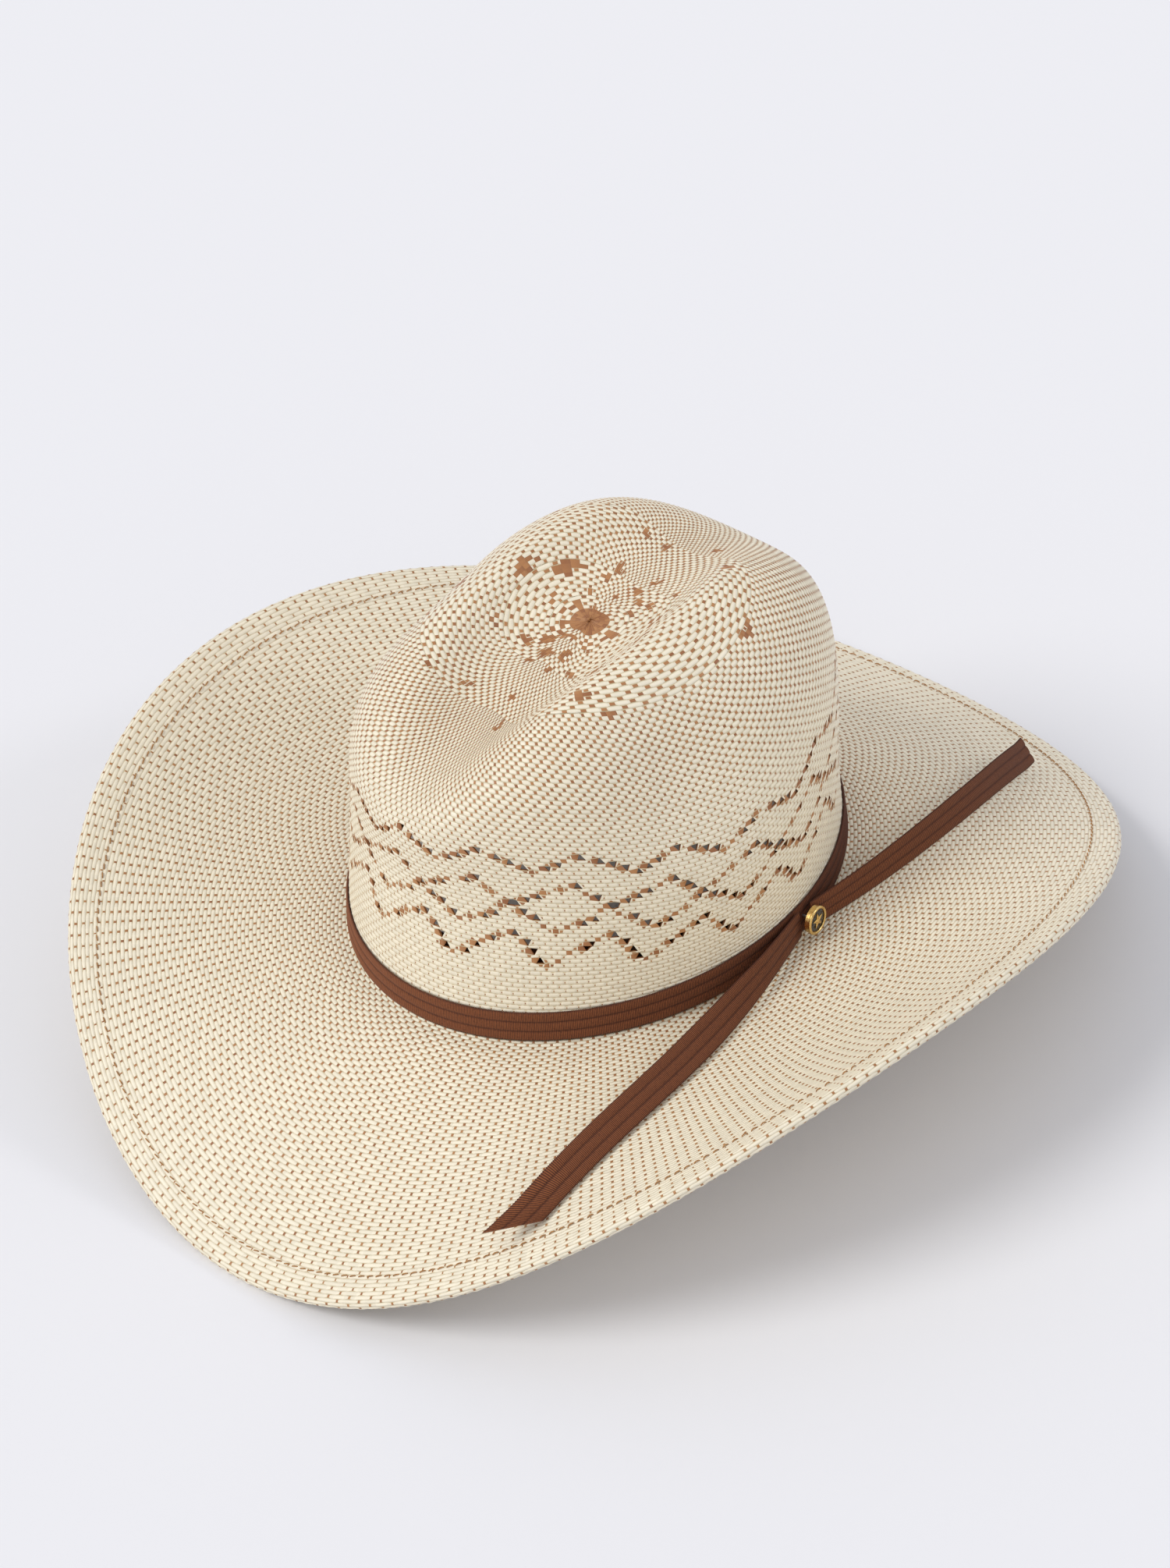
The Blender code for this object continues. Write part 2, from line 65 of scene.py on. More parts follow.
def spline_weights(u: Array, count: int) -> list[Array]:
    """Weights of a clamped cubic B-spline.

    Args:
        u: places along the curve, 0 to 1.
        count: number of control points.

    Returns:
        One array of weights for each control point.
    """
    knots = np.concatenate([np.zeros(3), np.linspace(0.0, 1.0, count - 2), np.ones(3)])
    u = np.clip(u, 0.0, 1.0 - 1e-9)
    basis = [((u >= low) & (u < high)) * 1.0 for low, high in zip(knots[:-1], knots[1:])]
    for degree in range(1, 4):
        for i in range(len(knots) - 1 - degree):
            rise = knots[i + degree] - knots[i]
            fall = knots[i + degree + 1] - knots[i + 1]
            left = (u - knots[i]) / rise * basis[i] if rise > 0 else 0.0
            right = (knots[i + degree + 1] - u) / fall * basis[i + 1] if fall > 0 else 0.0
            basis[i] = left + right
    return basis[:count]


def normals(points: Array) -> Array:
    """Unit normals of a grid of points: the cross product of its two directions."""
    wrapped = np.concatenate([points[:, -2:-1], points, points[:, 1:2]], axis=1)
    around = wrapped[:, 2:] - wrapped[:, :-2]
    return unit(np.cross(around, np.gradient(points, axis=0)))


@dataclass(frozen=True)
class HatShape:
    """Outer face of the crown and upper face of the brim, as the frame has them.

    Each crown ring holds, in mm: half width, reach to the front, reach to the back, height at the
    front, at the side and at the back, extra height at the quarters, and the swell behind.
    """

    centre_y: float = 2.0 * MM
    base_height: float = 49.5 * MM
    rings: tuple[tuple[float, ...], ...] = (
        (90.0, 102.0, 102.0, 0.0, 0.0, 0.0, 0.0, 0.0),
        (87.5, 98.0, 101.0, 30.0, 30.0, 30.0, 0.0, 0.0),
        (85.5, 90.0, 112.0, 62.0, 64.0, 62.0, 0.0, 0.0),
        (74.0, 98.5, 111.5, 92.0, 107.5, 93.5, 10.5, 0.1),
        (30.0, 68.5, 82.5, 101.0, 136.0, 111.0, 4.0, 0.1),
        (28.5, 32.0, 53.0, 106.5, 111.5, 118.0, -2.5, 0.0),
        (0.0, -14.0, 14.0, 113.0, 113.0, 113.0, 0.0, 0.0),
    )
    dent_y: float = -12.0 * MM
    dent_height: float = 92.0 * MM
    dent_length: float = 34.0 * MM
    dent_rise: float = 26.0 * MM
    dent_depth: float = 9.0 * MM
    brim_half_width: float = 192.4 * MM
    brim_squareness: float = 1.8 * MM
    brim_lengths: tuple[float, ...] = (2.68 * MM, 210.4 * MM, -0.65 * MM, -1.95 * MM)
    brim_heights: tuple[float, ...] = (43.0 * MM, 5.4 * MM, -42.6 * MM, -5.4 * MM, -0.3 * MM)
    brim_lift: float = 2.9 * MM
    brim_turn: tuple[float, float] = (1.25, 2.2)
    break_radius: float = 1.5 * MM

    def ring(self, sizes: tuple[float, ...], phi: Array) -> Array:
        """One closed ring of the crown: an ellipse whose height is two cosine waves of phi."""
        half_width, front, back, low, middle, high, quarter, swell = sizes
        mean = (low + 2 * middle + high) / 4
        tilt = (low - high) / 2 * np.cos(phi) + (low + high - 2 * middle) / 4 * np.cos(2 * phi)
        x = half_width * np.sin(phi) * (1 - swell * np.cos(phi))
        y = (back - front) / 2 - (front + back) / 2 * np.cos(phi)
        z = mean + tilt + quarter * (1 - np.cos(4 * phi)) / 2
        return np.stack([x, y, z], axis=-1) * MM + np.array([0.0, self.centre_y, self.base_height])

    def crown(self, phi: Array, u: Array) -> Array:
        """Outer face of the crown: a spline through the rings, pressed in by the side dents."""
        phi, u = np.broadcast_arrays(np.asarray(phi, float), np.asarray(u, float))
        weights = spline_weights(u, len(self.rings))
        points = sum(w[..., None] * self.ring(sizes, phi) for w, sizes in zip(weights, self.rings))
        along = (points[..., 1] - self.centre_y - self.dent_y) / self.dent_length
        above = (points[..., 2] - self.base_height - self.dent_height) / self.dent_rise
        side_wall = 1.0 / (1.0 + np.exp((u - 0.68) / 0.03))
        push = self.dent_depth * np.exp(-along ** 2 - above ** 2) * side_wall * np.sin(phi) ** 2
        points[..., 0] -= np.sign(np.sin(phi)) * push
        return points

    def wall_out(self, phi: Array) -> Array:
        """Horizontal direction out of the crown's wall."""
        return unit(np.stack([np.sin(phi) / 90.0, -np.cos(phi) / 102.0, 0.0 * phi], axis=-1))

    def wall(self, phi: Array, height: Array, inset: Array) -> Array:
        """Point of the wall at a height above the brim, moved inwards by inset.

        The wall's line at each angle is sampled finely and read off at the height.
        """
        phi, height = np.broadcast_arrays(np.asarray(phi, float), np.asarray(height, float))
        points = self.crown(phi.ravel()[:, None], np.linspace(0.0, 0.5, 240)[None, :])
        rise = points[..., 2] - self.base_height
        found = np.array([[np.interp(h, line, p[:, axis]) for axis in range(3)]
                          for h, line, p in zip(height.ravel(), rise, points)])
        found[:, 2] = self.base_height + height.ravel()
        found -= self.wall_out(phi.ravel()) * np.ravel(np.broadcast_to(inset, phi.shape))[:, None]
        return found.reshape(phi.shape + (3,))

    def brim_edge(self, phi: Array) -> Array:
        """Outer edge of the brim: a few cosine waves of phi."""
        x = self.brim_half_width * np.sin(phi) + self.brim_squareness * np.sin(3 * phi)
        y = self.centre_y - sum(size * np.cos(k * phi) for k, size in enumerate(self.brim_lengths))
        z = self.brim_lift + sum(size * np.cos(k * phi) for k, size in enumerate(self.brim_heights))
        return np.stack([x, y, z], axis=-1)

    def brim(self, phi: Array, t: Array) -> Array:
        """Upper face of the brim: straight out in plan, its height a power of t."""
        phi, t = np.broadcast_arrays(np.asarray(phi, float), np.asarray(t, float))
        start = self.crown(phi, 0.0 * phi) + self.wall_out(phi) * self.break_radius
        end = self.brim_edge(phi)
        points = start + (end - start) * t[..., None]
        power = self.brim_turn[0] + (self.brim_turn[1] - self.brim_turn[0]) * np.sin(phi) ** 2
        rise = end[..., 2] - start[..., 2]
        points[..., 2] = start[..., 2] + rise * np.maximum(t, 0.0) ** power
        return points

    def brim_frame(self, phi: Array, t: Array) -> tuple[Array, Array]:
        """Directions out along the brim and up from its face."""
        step = 1e-4
        outward = unit(self.brim(phi, t + step) - self.brim(phi, t - step))
        around = unit(self.brim(phi + step, t) - self.brim(phi - step, t))
        upward = unit(np.cross(outward, around))
        return outward, upward * np.sign(upward[..., 2:3])

    def brim_width(self, phi: Array) -> Array:
        """Width of the brim along its face."""
        line = self.brim(np.asarray(phi, float)[..., None], np.linspace(0.0, 1.0, 30))
        return np.linalg.norm(np.diff(line, axis=-2), axis=-1).sum(axis=-1)

    def above_brim(self, phi: Array, from_edge: Array, lift: float) -> Array:
        """Point over the brim at a distance from its edge, lifted off its face."""
        t = 1.0 - from_edge / self.brim_width(phi)
        return self.brim(phi, t) + self.brim_frame(phi, t)[1] * lift

    def strand_angle(self, share: Array) -> Array:
        """Angle of a strand: strands stand evenly along the oval at the crown's foot."""
        fine = np.linspace(0.0, 2 * math.pi, 721)
        step = np.linalg.norm(np.diff(self.crown(fine, 0.0 * fine), axis=0), axis=-1)
        length = np.concatenate([[0.0], np.cumsum(step)])
        return np.interp(share, length / length[-1], fine)


# ---------------------------------------------------------------- finishes


def linear(code: str) -> tuple[float, float, float, float]:
    """Linear colour of an sRGB hex value."""
    parts = [int(code[i:i + 2], 16) / 255 for i in (1, 3, 5)]
    return (*[c / 12.92 if c <= 0.04045 else ((c + 0.055) / 1.055) ** 2.4 for c in parts], 1.0)


def connect(tree: bpy.types.NodeTree, node: bpy.types.Node, links: dict[Any, Any]) -> None:
    """Link a node or socket to each named input of a node, or set a value on it."""
    for name, value in links.items():
        if isinstance(value, bpy.types.Node):
            value = next(output for output in value.outputs if output.enabled)
        if isinstance(value, bpy.types.NodeSocket):
            tree.links.new(value, node.inputs[name])
        else:
            node.inputs[name].default_value = value


def add(tree: bpy.types.NodeTree, kind: str, links: dict[Any, Any] | None = None,
        **settings: Any) -> bpy.types.Node:
    """Add a node with its settings and links.

    Args:
        tree: the node tree.
        kind: the node's type, without its prefix.
        links: for each input, a node or socket to link, or a value to set.
        settings: the node's own properties.

    Returns:
        The new node.
    """
    node = tree.nodes.new("ShaderNode" + kind)
    for name, value in settings.items():
        setattr(node, name, value)
    connect(tree, node, links or {})
    return node


def calc(tree: bpy.types.NodeTree, operation: str, *inputs: Any) -> bpy.types.Node:
    """Add a Math node."""
    return add(tree, "Math", dict(enumerate(inputs)), operation=operation)


def blend(tree: bpy.types.NodeTree, factor: Any, first: Any, second: Any) -> bpy.types.Node:
    """Add a node that mixes two colours."""
    return add(tree, "Mix", {"Factor": factor, 6: first, 7: second}, data_type="RGBA")


def new_material(name: str, roughness: float, metallic: float = 0.0,
                 **sockets: float) -> tuple[bpy.types.Material, bpy.types.Node]:
    """A Principled material with its constant values set on the shader's own sockets."""
    material = bpy.data.materials.new(name)
    material.use_nodes = True
    shader = material.node_tree.nodes["Principled BSDF"]
    shader.inputs["Roughness"].default_value = roughness
    shader.inputs["Metallic"].default_value = metallic
    for socket, value in sockets.items():
        shader.inputs[socket.replace("_", " ")].default_value = value
    return material, shader


@dataclass(frozen=True)
class WovenStraw:
    """Twisted paper straw in a plain weave, lacquered: cream courses over brown strands.

    The UV map counts strands and courses, so every crossing is one unit. The rounded courses
    dip under each brown crossing, with painted shade where they lie low, and the lacquer gives a
    broad soft shine.
    """

    cream: str = "#F6ECD4"
    # painted shade: the straw's colour in the grooves between courses and where a course dips under the
    # brown
    groove_shade: str = "#D8C294"
    brown: str = "#BE8654"
    brown_dark: str = "#96603A"
    wobble: float = 0.16            # how far a crossing strays, in strands
    relief: float = 0.36 * MM

    def build(self) -> bpy.types.Material:
        """Make the material from the crossing's place inside its unit of the weave."""
        material, shader = new_material("woven_straw", 0.42)
        tree = material.node_tree
        place = add(tree, "TexCoord").outputs["Object"]
        stray = add(tree, "SeparateColor", {0: add(tree, "TexNoise", {
            "Vector": place, "Scale": 1 / (5 * MM), "Detail": 1.0}).outputs["Color"]})
        weave = add(tree, "SeparateXYZ", {0: add(tree, "UVMap", uv_map="weave")})
        axes = []
        for axis in range(2):
            shift = calc(tree, "MULTIPLY_ADD", stray.outputs[axis], self.wobble, -self.wobble / 2)
            axes.append(calc(tree, "ADD", weave.outputs[axis], shift))
        cells = [calc(tree, "FLOOR", axis) for axis in axes]
        across, along = (calc(tree, "ABSOLUTE", calc(tree, "SUBTRACT", calc(tree, "FRACT", axis), 0.5))
                         for axis in axes)
        cream_over = calc(tree, "PINGPONG", calc(tree, "ADD", *cells), 1.0)
        width, height, patch = (add(tree, "Attribute", attribute_name=label).outputs["Fac"]
                                for label in ("brown_width", "brown_height", "patch"))

        # Brown: a rounded square at every other crossing, or a whole cell in a patch.
        reach_u = calc(tree, "DIVIDE", across, width)
        reach = calc(tree, "SMOOTH_MAX", reach_u, calc(tree, "DIVIDE", along, height), 0.35)
        under = add(tree, "MapRange", {"Value": reach, "From Min": 1.14, "From Max": 0.86},
                    interpolation_type="SMOOTHSTEP")
        crossing = calc(tree, "MULTIPLY", under, calc(tree, "SUBTRACT", 1.0, cream_over))
        shown = calc(tree, "MAXIMUM", crossing, patch)

        # Cream: an oval float over each other crossing, drawn in where it dips under the brown.
        far = calc(tree, "SUBTRACT", 1.0, across)
        from_middle = add(tree, "Mix", {"Factor": cream_over, "A": far, "B": across})
        arch = add(tree, "MapRange", {
            "Value": from_middle, "From Min": calc(tree, "SUBTRACT", 1.06, width),
            "From Max": calc(tree, "SUBTRACT", 0.68, width)}, interpolation_type="SMOOTHSTEP")
        half = calc(tree, "MULTIPLY_ADD", arch, 0.18, 0.38)
        square = calc(tree, "POWER", calc(tree, "DIVIDE", along, half), 2.0)
        section = calc(tree, "MULTIPLY_ADD", square, -0.95, 1.0)
        body = calc(tree, "MULTIPLY_ADD", arch, 0.45, 0.55)
        cream_height = calc(tree, "MAXIMUM", calc(tree, "MULTIPLY", section, body), -0.15)
        brown_height = calc(tree, "MULTIPLY_ADD", calc(tree, "POWER", reach_u, 2.0), -0.25, 0.75)
        surface = add(tree, "Mix", {"Factor": shown, "A": cream_height, "B": brown_height})

        cell = add(tree, "CombineXYZ", {0: cells[0], 1: cells[1]})
        tone = add(tree, "TexWhiteNoise", {"Vector": cell}, noise_dimensions="3D").outputs["Value"]
        # Painted shade: the cream darkens towards the groove shade colour wherever the course lies low,
        # in the grooves and at a float's ends.
        depth = add(tree, "MapRange", {"Value": cream_height, "From Min": 0.6, "From Max": -0.05,
                                       "To Max": 0.9})
        cream = blend(tree, depth, linear(self.cream), linear(self.groove_shade))
        brown = blend(tree, tone, linear(self.brown), linear(self.brown_dark))
        shade = add(tree, "MapRange", {"Value": tone, "To Min": 0.94, "To Max": 1.04})
        toned = add(tree, "HueSaturation", {"Value": shade, "Color": blend(tree, shown, cream, brown)})
        bump = add(tree, "Bump", {"Strength": 0.9, "Distance": self.relief, "Height": surface})
        connect(tree, shader, {"Base Color": toned, "Normal": bump})
        return material


@dataclass(frozen=True)
class Grosgrain:
    """Rayon grosgrain ribbon: fine ribs across it and a slight sheen on each rib's back."""

    colour: str = "#8E5330"
    shadow: str = "#4A2617"

    def build(self) -> bpy.types.Material:
        """Make the material; the UV map counts cross ribs along and the share of the width across."""
        material, shader = new_material("grosgrain", 0.72, Sheen_Weight=0.06, Specular_IOR_Level=0.25)
        tree = material.node_tree
        uv = add(tree, "SeparateXYZ", {0: add(tree, "UVMap", uv_map="weave")})
        turn = calc(tree, "MULTIPLY", uv.outputs[0], 2 * math.pi)
        wave = calc(tree, "MULTIPLY_ADD", calc(tree, "SINE", turn), 0.5, 0.5)
        fibre = add(tree, "TexNoise", {"Vector": add(tree, "TexCoord").outputs["Object"],
                                       "Scale": 1 / (0.8 * MM), "Detail": 3.0})
        lane = calc(tree, "MULTIPLY", uv.outputs[1], 3 * math.pi)
        rib = calc(tree, "ABSOLUTE", calc(tree, "SINE", lane))
        open_face = add(tree, "MapRange", {"Value": rib, "From Max": 0.55, "To Min": 0.25})
        mix = calc(tree, "MULTIPLY", calc(tree, "MULTIPLY", wave, open_face), fibre.outputs[0])
        factor = add(tree, "MapRange", {"Value": mix, "From Min": 0.03, "From Max": 0.4})
        colour = blend(tree, factor, linear(self.shadow), linear(self.colour))
        bump = add(tree, "Bump", {"Strength": 0.8, "Distance": 0.12 * MM, "Height": wave})
        connect(tree, shader, {"Base Color": colour, "Normal": bump})
        return material


@dataclass(frozen=True)
class Plain:
    """A finish whose colour and surface vary with one noise: leather, cloth, metal or foam.

    The grain is the size of a pore, thread or polishing mark, and the bump follows it.
    """

    name: str
    light: str
    dark: str
    roughness: float
    grain: float
    bump: float
    metallic: float = 0.0
    coat: float = 0.0
    detail: float = 3.0

    def build(self) -> bpy.types.Material:
        """Make the material."""
        material, shader = new_material(self.name, self.roughness, self.metallic,
                                        Coat_Weight=self.coat)
        tree = material.node_tree
        place = add(tree, "TexCoord").outputs["Object"]
        noise = add(tree, "TexNoise", {"Vector": place, "Scale": 1 / self.grain,
                                       "Detail": self.detail}).outputs[0]
        factor = add(tree, "MapRange", {"Value": noise, "From Min": 0.35, "From Max": 0.65})
        colour = blend(tree, factor, linear(self.dark), linear(self.light))
        rough = add(tree, "MapRange", {"Value": noise, "To Min": self.roughness * 0.8,
                                       "To Max": self.roughness * 1.2})
        bump = add(tree, "Bump", {"Strength": 0.6, "Distance": self.bump, "Height": noise})
        connect(tree, shader, {"Base Color": colour, "Roughness": rough, "Normal": bump})
        return material


class Trim(Enum):
    """Finishes of the small pieces."""

    # Full-grain roan leather, drum dyed: fine pores and a waxy soft shine.
    LEATHER = Plain("roan_leather", "#8A5A36", "#6B4226", 0.5, 1.2 * MM, 0.12 * MM)
    # Gold plate over a stamped cup, polished: small scratches break up the reflection.
    GOLD = Plain("gold_plate", "#F2D594", "#DDB468", 0.26, 0.6 * MM, 0.01 * MM, metallic=1.0)
    # Hard enamel, ground flat: deep black with a clear gloss.
    ENAMEL = Plain("black_enamel", "#0A0A0B", "#121213", 0.12, 2.0 * MM, 0.004 * MM, coat=0.4)
    # Drawn steel.
    STEEL = Plain("drawn_steel", "#B4B5B8", "#9A9B9E", 0.32, 0.4 * MM, 0.01 * MM, metallic=1.0)
    # Spun cotton thread.
    THREAD = Plain("tan_thread", "#C08E55", "#8E5F33", 0.75, 0.5 * MM, 0.1 * MM)
    # Plain-woven cotton tape.
    TAPE = Plain("cotton_tape", "#6E4A34", "#53351F", 0.85, 0.6 * MM, 0.1 * MM)
    # Satin ribbon.
    SATIN = Plain("satin_bow", "#7A4630", "#5A2F1D", 0.4, 0.7 * MM, 0.04 * MM)
    # Open-cell foam under brushed nylon.
    FOAM = Plain("brushed_foam", "#D8D0BE", "#B9AF9A", 0.9, 0.9 * MM, 0.2 * MM)
    # Uncoated paper.
    PAPER = Plain("blank_paper", "#E6E2D6", "#DAD5C6", 0.8, 1.5 * MM, 0.02 * MM)
    # Extruded plastic reed.
    REED = Plain("plastic_reed", "#D9D6CC", "#C8C4B8", 0.4, 3.0 * MM, 0.01 * MM)


# ---------------------------------------------------------------- meshes


def mesh_piece(name: str, points: Array, faces: Array, uv: Array | None = None,
               crease: float = 50.0) -> bpy.types.Object:
    """Object from triangles, with sharp edges where faces meet at more than the crease angle.

    Args:
        name: name of the piece.
        points: vertices, one per row.
        faces: three vertex numbers per row.
        uv: for each face corner, its place in the weave.
        crease: angle in degrees.

    Returns:
        The object, at the origin.
    """
    mesh = bpy.data.meshes.new(name)
    mesh.vertices.add(len(points))
    mesh.vertices.foreach_set("co", np.ascontiguousarray(points, np.float32).ravel())
    mesh.loops.add(faces.size)
    mesh.loops.foreach_set("vertex_index", np.ascontiguousarray(faces, np.int32).ravel())
    mesh.polygons.add(len(faces))
    mesh.polygons.foreach_set("loop_start", np.arange(0, faces.size, 3, dtype=np.int32))
    mesh.update(calc_edges=True)
    if uv is not None:
        layer = mesh.uv_layers.new(name="weave")
        layer.data.foreach_set("uv", np.ascontiguousarray(uv, np.float32).ravel())
    mesh.shade_smooth()
    mesh.set_sharp_from_angle(angle=math.radians(crease))
    piece = bpy.data.objects.new(name, mesh)
    bpy.context.scene.collection.objects.link(piece)
    return piece


def finish_piece(piece: bpy.types.Object, material: bpy.types.Material, slot: str, body: str,
                 *nodes: str) -> bpy.types.Object:
    """Dress a piece, set it on its body, and say which frame nodes it stands for."""
    piece.data.materials.clear()
    piece.data.materials.append(material)
    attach(piece, body)
    if nodes:
        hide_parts(*nodes)
    LOG.info("%s: %d faces on %s", piece.name, len(piece.data.polygons), body)
    return piece


def dress_node(node: str, trim: Trim) -> None:
    """Give a frame node, whose shape is right as it is, a finish of its own."""
    data = bpy.data.objects[node].data
    data.materials.clear()
    data.materials.append(trim.value.build())


def shell(name: str, outer: Array, inner: Array, uv_of: Callable[[Array, Array], Array] | None = None,
          closed: bool = True, crease: float = 50.0) -> bpy.types.Object:
    """Closed solid between two grids of points that face away from each other.

    Args:
        name: name of the piece.
        outer: rows by columns of points on the outer face.
        inner: the same grid on the inner face.
        uv_of: place in the weave of a row and column.
        closed: whether each row runs right round.
        crease: angle in degrees past which an edge is sharp.

    Returns:
        The object.
    """
    rows, columns = outer.shape[:2]
    section = 2 * rows
    row_of = np.concatenate([np.arange(rows), np.arange(rows)[::-1]])
    span = columns if closed else columns - 1
    r, c = (index.ravel() for index in np.meshgrid(np.arange(section), np.arange(span), indexing="ij"))
    corners = [np.stack([(r, c), (r, c + 1), (r + 1, c + 1), (r + 1, c)], -1)]
    if not closed:
        r = np.arange(rows - 1)
        for column, (near, far) in ((0, (r, r + 1)), (columns - 1, (r + 1, r))):
            cap = np.stack([near, far, section - 1 - far, section - 1 - near], -1)
            corners.append(np.stack([cap, np.full(cap.shape, column)]))
    row, column = np.concatenate(corners, axis=1)
    row = row % section
    quads = row * columns + column % columns
    faces = np.concatenate([quads[:, [0, 1, 2]], quads[:, [0, 2, 3]]])
    uv = None
    if uv_of is not None:
        row, column = (np.concatenate([at[:, [0, 1, 2]], at[:, [0, 2, 3]]]) for at in (row, column))
        uv = uv_of(row_of[row], column)
    points = np.concatenate([outer, inner[::-1]]).reshape(-1, 3)
    return mesh_piece(name, points, faces, uv, crease)


def turned(name: str, profile: Array, place: Matrix, steps: int = 96) -> bpy.types.Object:
    """Turned piece: a closed profile of (radius, height) spun round the local Z axis."""
    turn = np.linspace(0.0, 2 * math.pi, steps, endpoint=False)
    radius, height = profile[:, 0], profile[:, 1]
    ring = np.stack([radius[:, None] * np.cos(turn), radius[:, None] * np.sin(turn),
                     np.broadcast_to(height[:, None], (len(profile), steps))], -1)
    rows = len(profile)
    r, c = np.meshgrid(np.arange(rows - 1), np.arange(steps), indexing="ij")
    r, c = r.ravel(), c.ravel()
    n = (c + 1) % steps
    quads = np.stack([r * steps + c, r * steps + n, (r + 1) * steps + n, (r + 1) * steps + c], -1)
    faces = np.concatenate([quads[:, [0, 1, 2]], quads[:, [0, 2, 3]]])
    matrix = np.array(place)
    points = ring.reshape(-1, 3) @ matrix[:3, :3].T + matrix[:3, 3]
    piece = mesh_piece(name, points, faces, None, 35.0)
    weld(piece)
    return piece


def weld(piece: bpy.types.Object) -> None:
    """Merge coincident vertices and turn the faces outwards."""
    mesh = bmesh.new()
    mesh.from_mesh(piece.data)
    bmesh.ops.remove_doubles(mesh, verts=mesh.verts, dist=1e-6)
    bmesh.ops.recalc_face_normals(mesh, faces=mesh.faces)
    mesh.to_mesh(piece.data)
    mesh.free()


# ---------------------------------------------------------------- woven body


@dataclass
class WeavePart:
    """Arrays of one woven solid: its vertices, triangles, weave places and dress of each cell."""

    points: Array
    faces: Array
    uv: Array
    brown_width: Array
    brown_height: Array
    patch: Array


def weave_solid(fine: Array, inner: Array, first_course: int, kept: Array, widths: Array,
                heights: Array, patch: Array, pole: bool = False) -> WeavePart:
    """Solid of woven cells, open where a cell is left out.

    The outer face of a cell is four triangles round its raised middle, the inner face is two
    triangles, and a brown wall joins them wherever the neighbouring cell is missing.

    Args:
        fine: outer points at the corners, edges and middles of the cells, two steps to a cell.
        inner: inner points at the corners.
        first_course: course number of the first row.
        kept: for each cell, whether it is there.
        widths: half width of the brown strand at every fine point, in strands.
        heights: half height of a brown crossing at every fine point, in courses.
        patch: for each cell, 1 where brown covers it.
        pole: whether the last row closes to a point.

    Returns:
        The arrays.
    """
    rows, columns = kept.shape
    corners, middles = fine[::2, ::2], fine[1::2, 1::2]
    count, cells = corners.shape[0] * columns, rows * columns
    r, c = (index.ravel() for index in np.meshgrid(np.arange(rows), np.arange(columns), indexing="ij"))
    here = kept.ravel()

    def corner(row: Array, column: Array) -> Array:
        """Vertex number of an outer corner; the pole's corners are one vertex."""
        row = np.asarray(row)
        return row * columns + np.where(pole & (row == rows), 0, column % columns)

    around = [(r, c), (r, c + 1), (r + 1, c + 1), (r + 1, c)]
    ring = [corner(*place) for place in around]
    centre = count + r * columns + c
    at = [np.stack([place[1], place[0]], -1).astype(float) for place in around]
    middle_at = np.stack([c + 0.5, r + 0.5], -1)
    faces, places, owners = [], [], []
    for k in range(4):
        n = (k + 1) % 4
        faces.append(np.stack([ring[k], ring[n], centre], -1)[here])
        places.append(np.stack([at[k], at[n], middle_at], 1)[here])
        owners.append(patch.ravel()[here])
    below = count + cells
    for a, b, d in ((0, 2, 1), (0, 3, 2)):
        faces.append(np.stack([ring[a], ring[b], ring[d]], -1)[here] + below)
        places.append(np.stack([at[a], at[b], at[d]], 1)[here])
        owners.append(patch.ravel()[here])
    padded = np.zeros((rows + 2, columns), bool)
    padded[1:-1] = kept
    if pole:
        padded[-1] = True
    sides = ((-1, 0, 1, 0), (1, 0, 3, 2), (0, -1, 0, 3), (0, 1, 2, 1))
    for row_step, column_step, k, n in sides:
        neighbour = padded[r + 1 + row_step, (c + column_step) % columns]
        wall = here & ~neighbour
        a, b = ring[k][wall], ring[n][wall]
        spot = [at[k][wall], at[n][wall]]
        faces += [np.stack([a, b, b + below], -1), np.stack([a, b + below, a + below], -1)]
        places += [np.stack([spot[0], spot[1], spot[1]], 1), np.stack([spot[0], spot[1], spot[0]], 1)]
        owners += [np.ones(wall.sum())] * 2
    faces, places, owners = np.concatenate(faces), np.concatenate(places), np.concatenate(owners)
    whole = (faces[:, 0] != faces[:, 1]) & (faces[:, 1] != faces[:, 2]) & (faces[:, 2] != faces[:, 0])
    dress = [np.concatenate([a[::2, ::2].ravel(), a[1::2, 1::2].ravel(), a[::2, ::2].ravel()])
             for a in (widths, heights)]
    points = np.concatenate([corners.reshape(-1, 3), middles.reshape(-1, 3), inner.reshape(-1, 3)])
    return WeavePart(points, faces[whole], places[whole] + np.array([0.0, first_course]),
                     *dress, owners[whole])


def woven_piece(name: str, parts: list[WeavePart]) -> bpy.types.Object:
    """One object from several woven solids that abut each other."""
    starts = np.cumsum([0] + [len(part.points) for part in parts[:-1]])
    faces = np.concatenate([part.faces + start for part, start in zip(parts, starts)])
    used, faces = np.unique(faces, return_inverse=True)
    faces = faces.reshape(-1, 3)
    points = np.concatenate([part.points for part in parts])[used]
    piece = mesh_piece(name, points, faces, np.concatenate([part.uv for part in parts]), 70.0)
    for label in ("brown_width", "brown_height"):
        values = np.concatenate([getattr(part, label) for part in parts])[used]
        layer = piece.data.attributes.new(label, "FLOAT", "POINT")
        layer.data.foreach_set("value", values.astype(np.float32))
    layer = piece.data.attributes.new("patch", "FLOAT", "FACE")
    layer.data.foreach_set("value", np.concatenate([part.patch for part in parts]).astype(np.float32))
    return piece


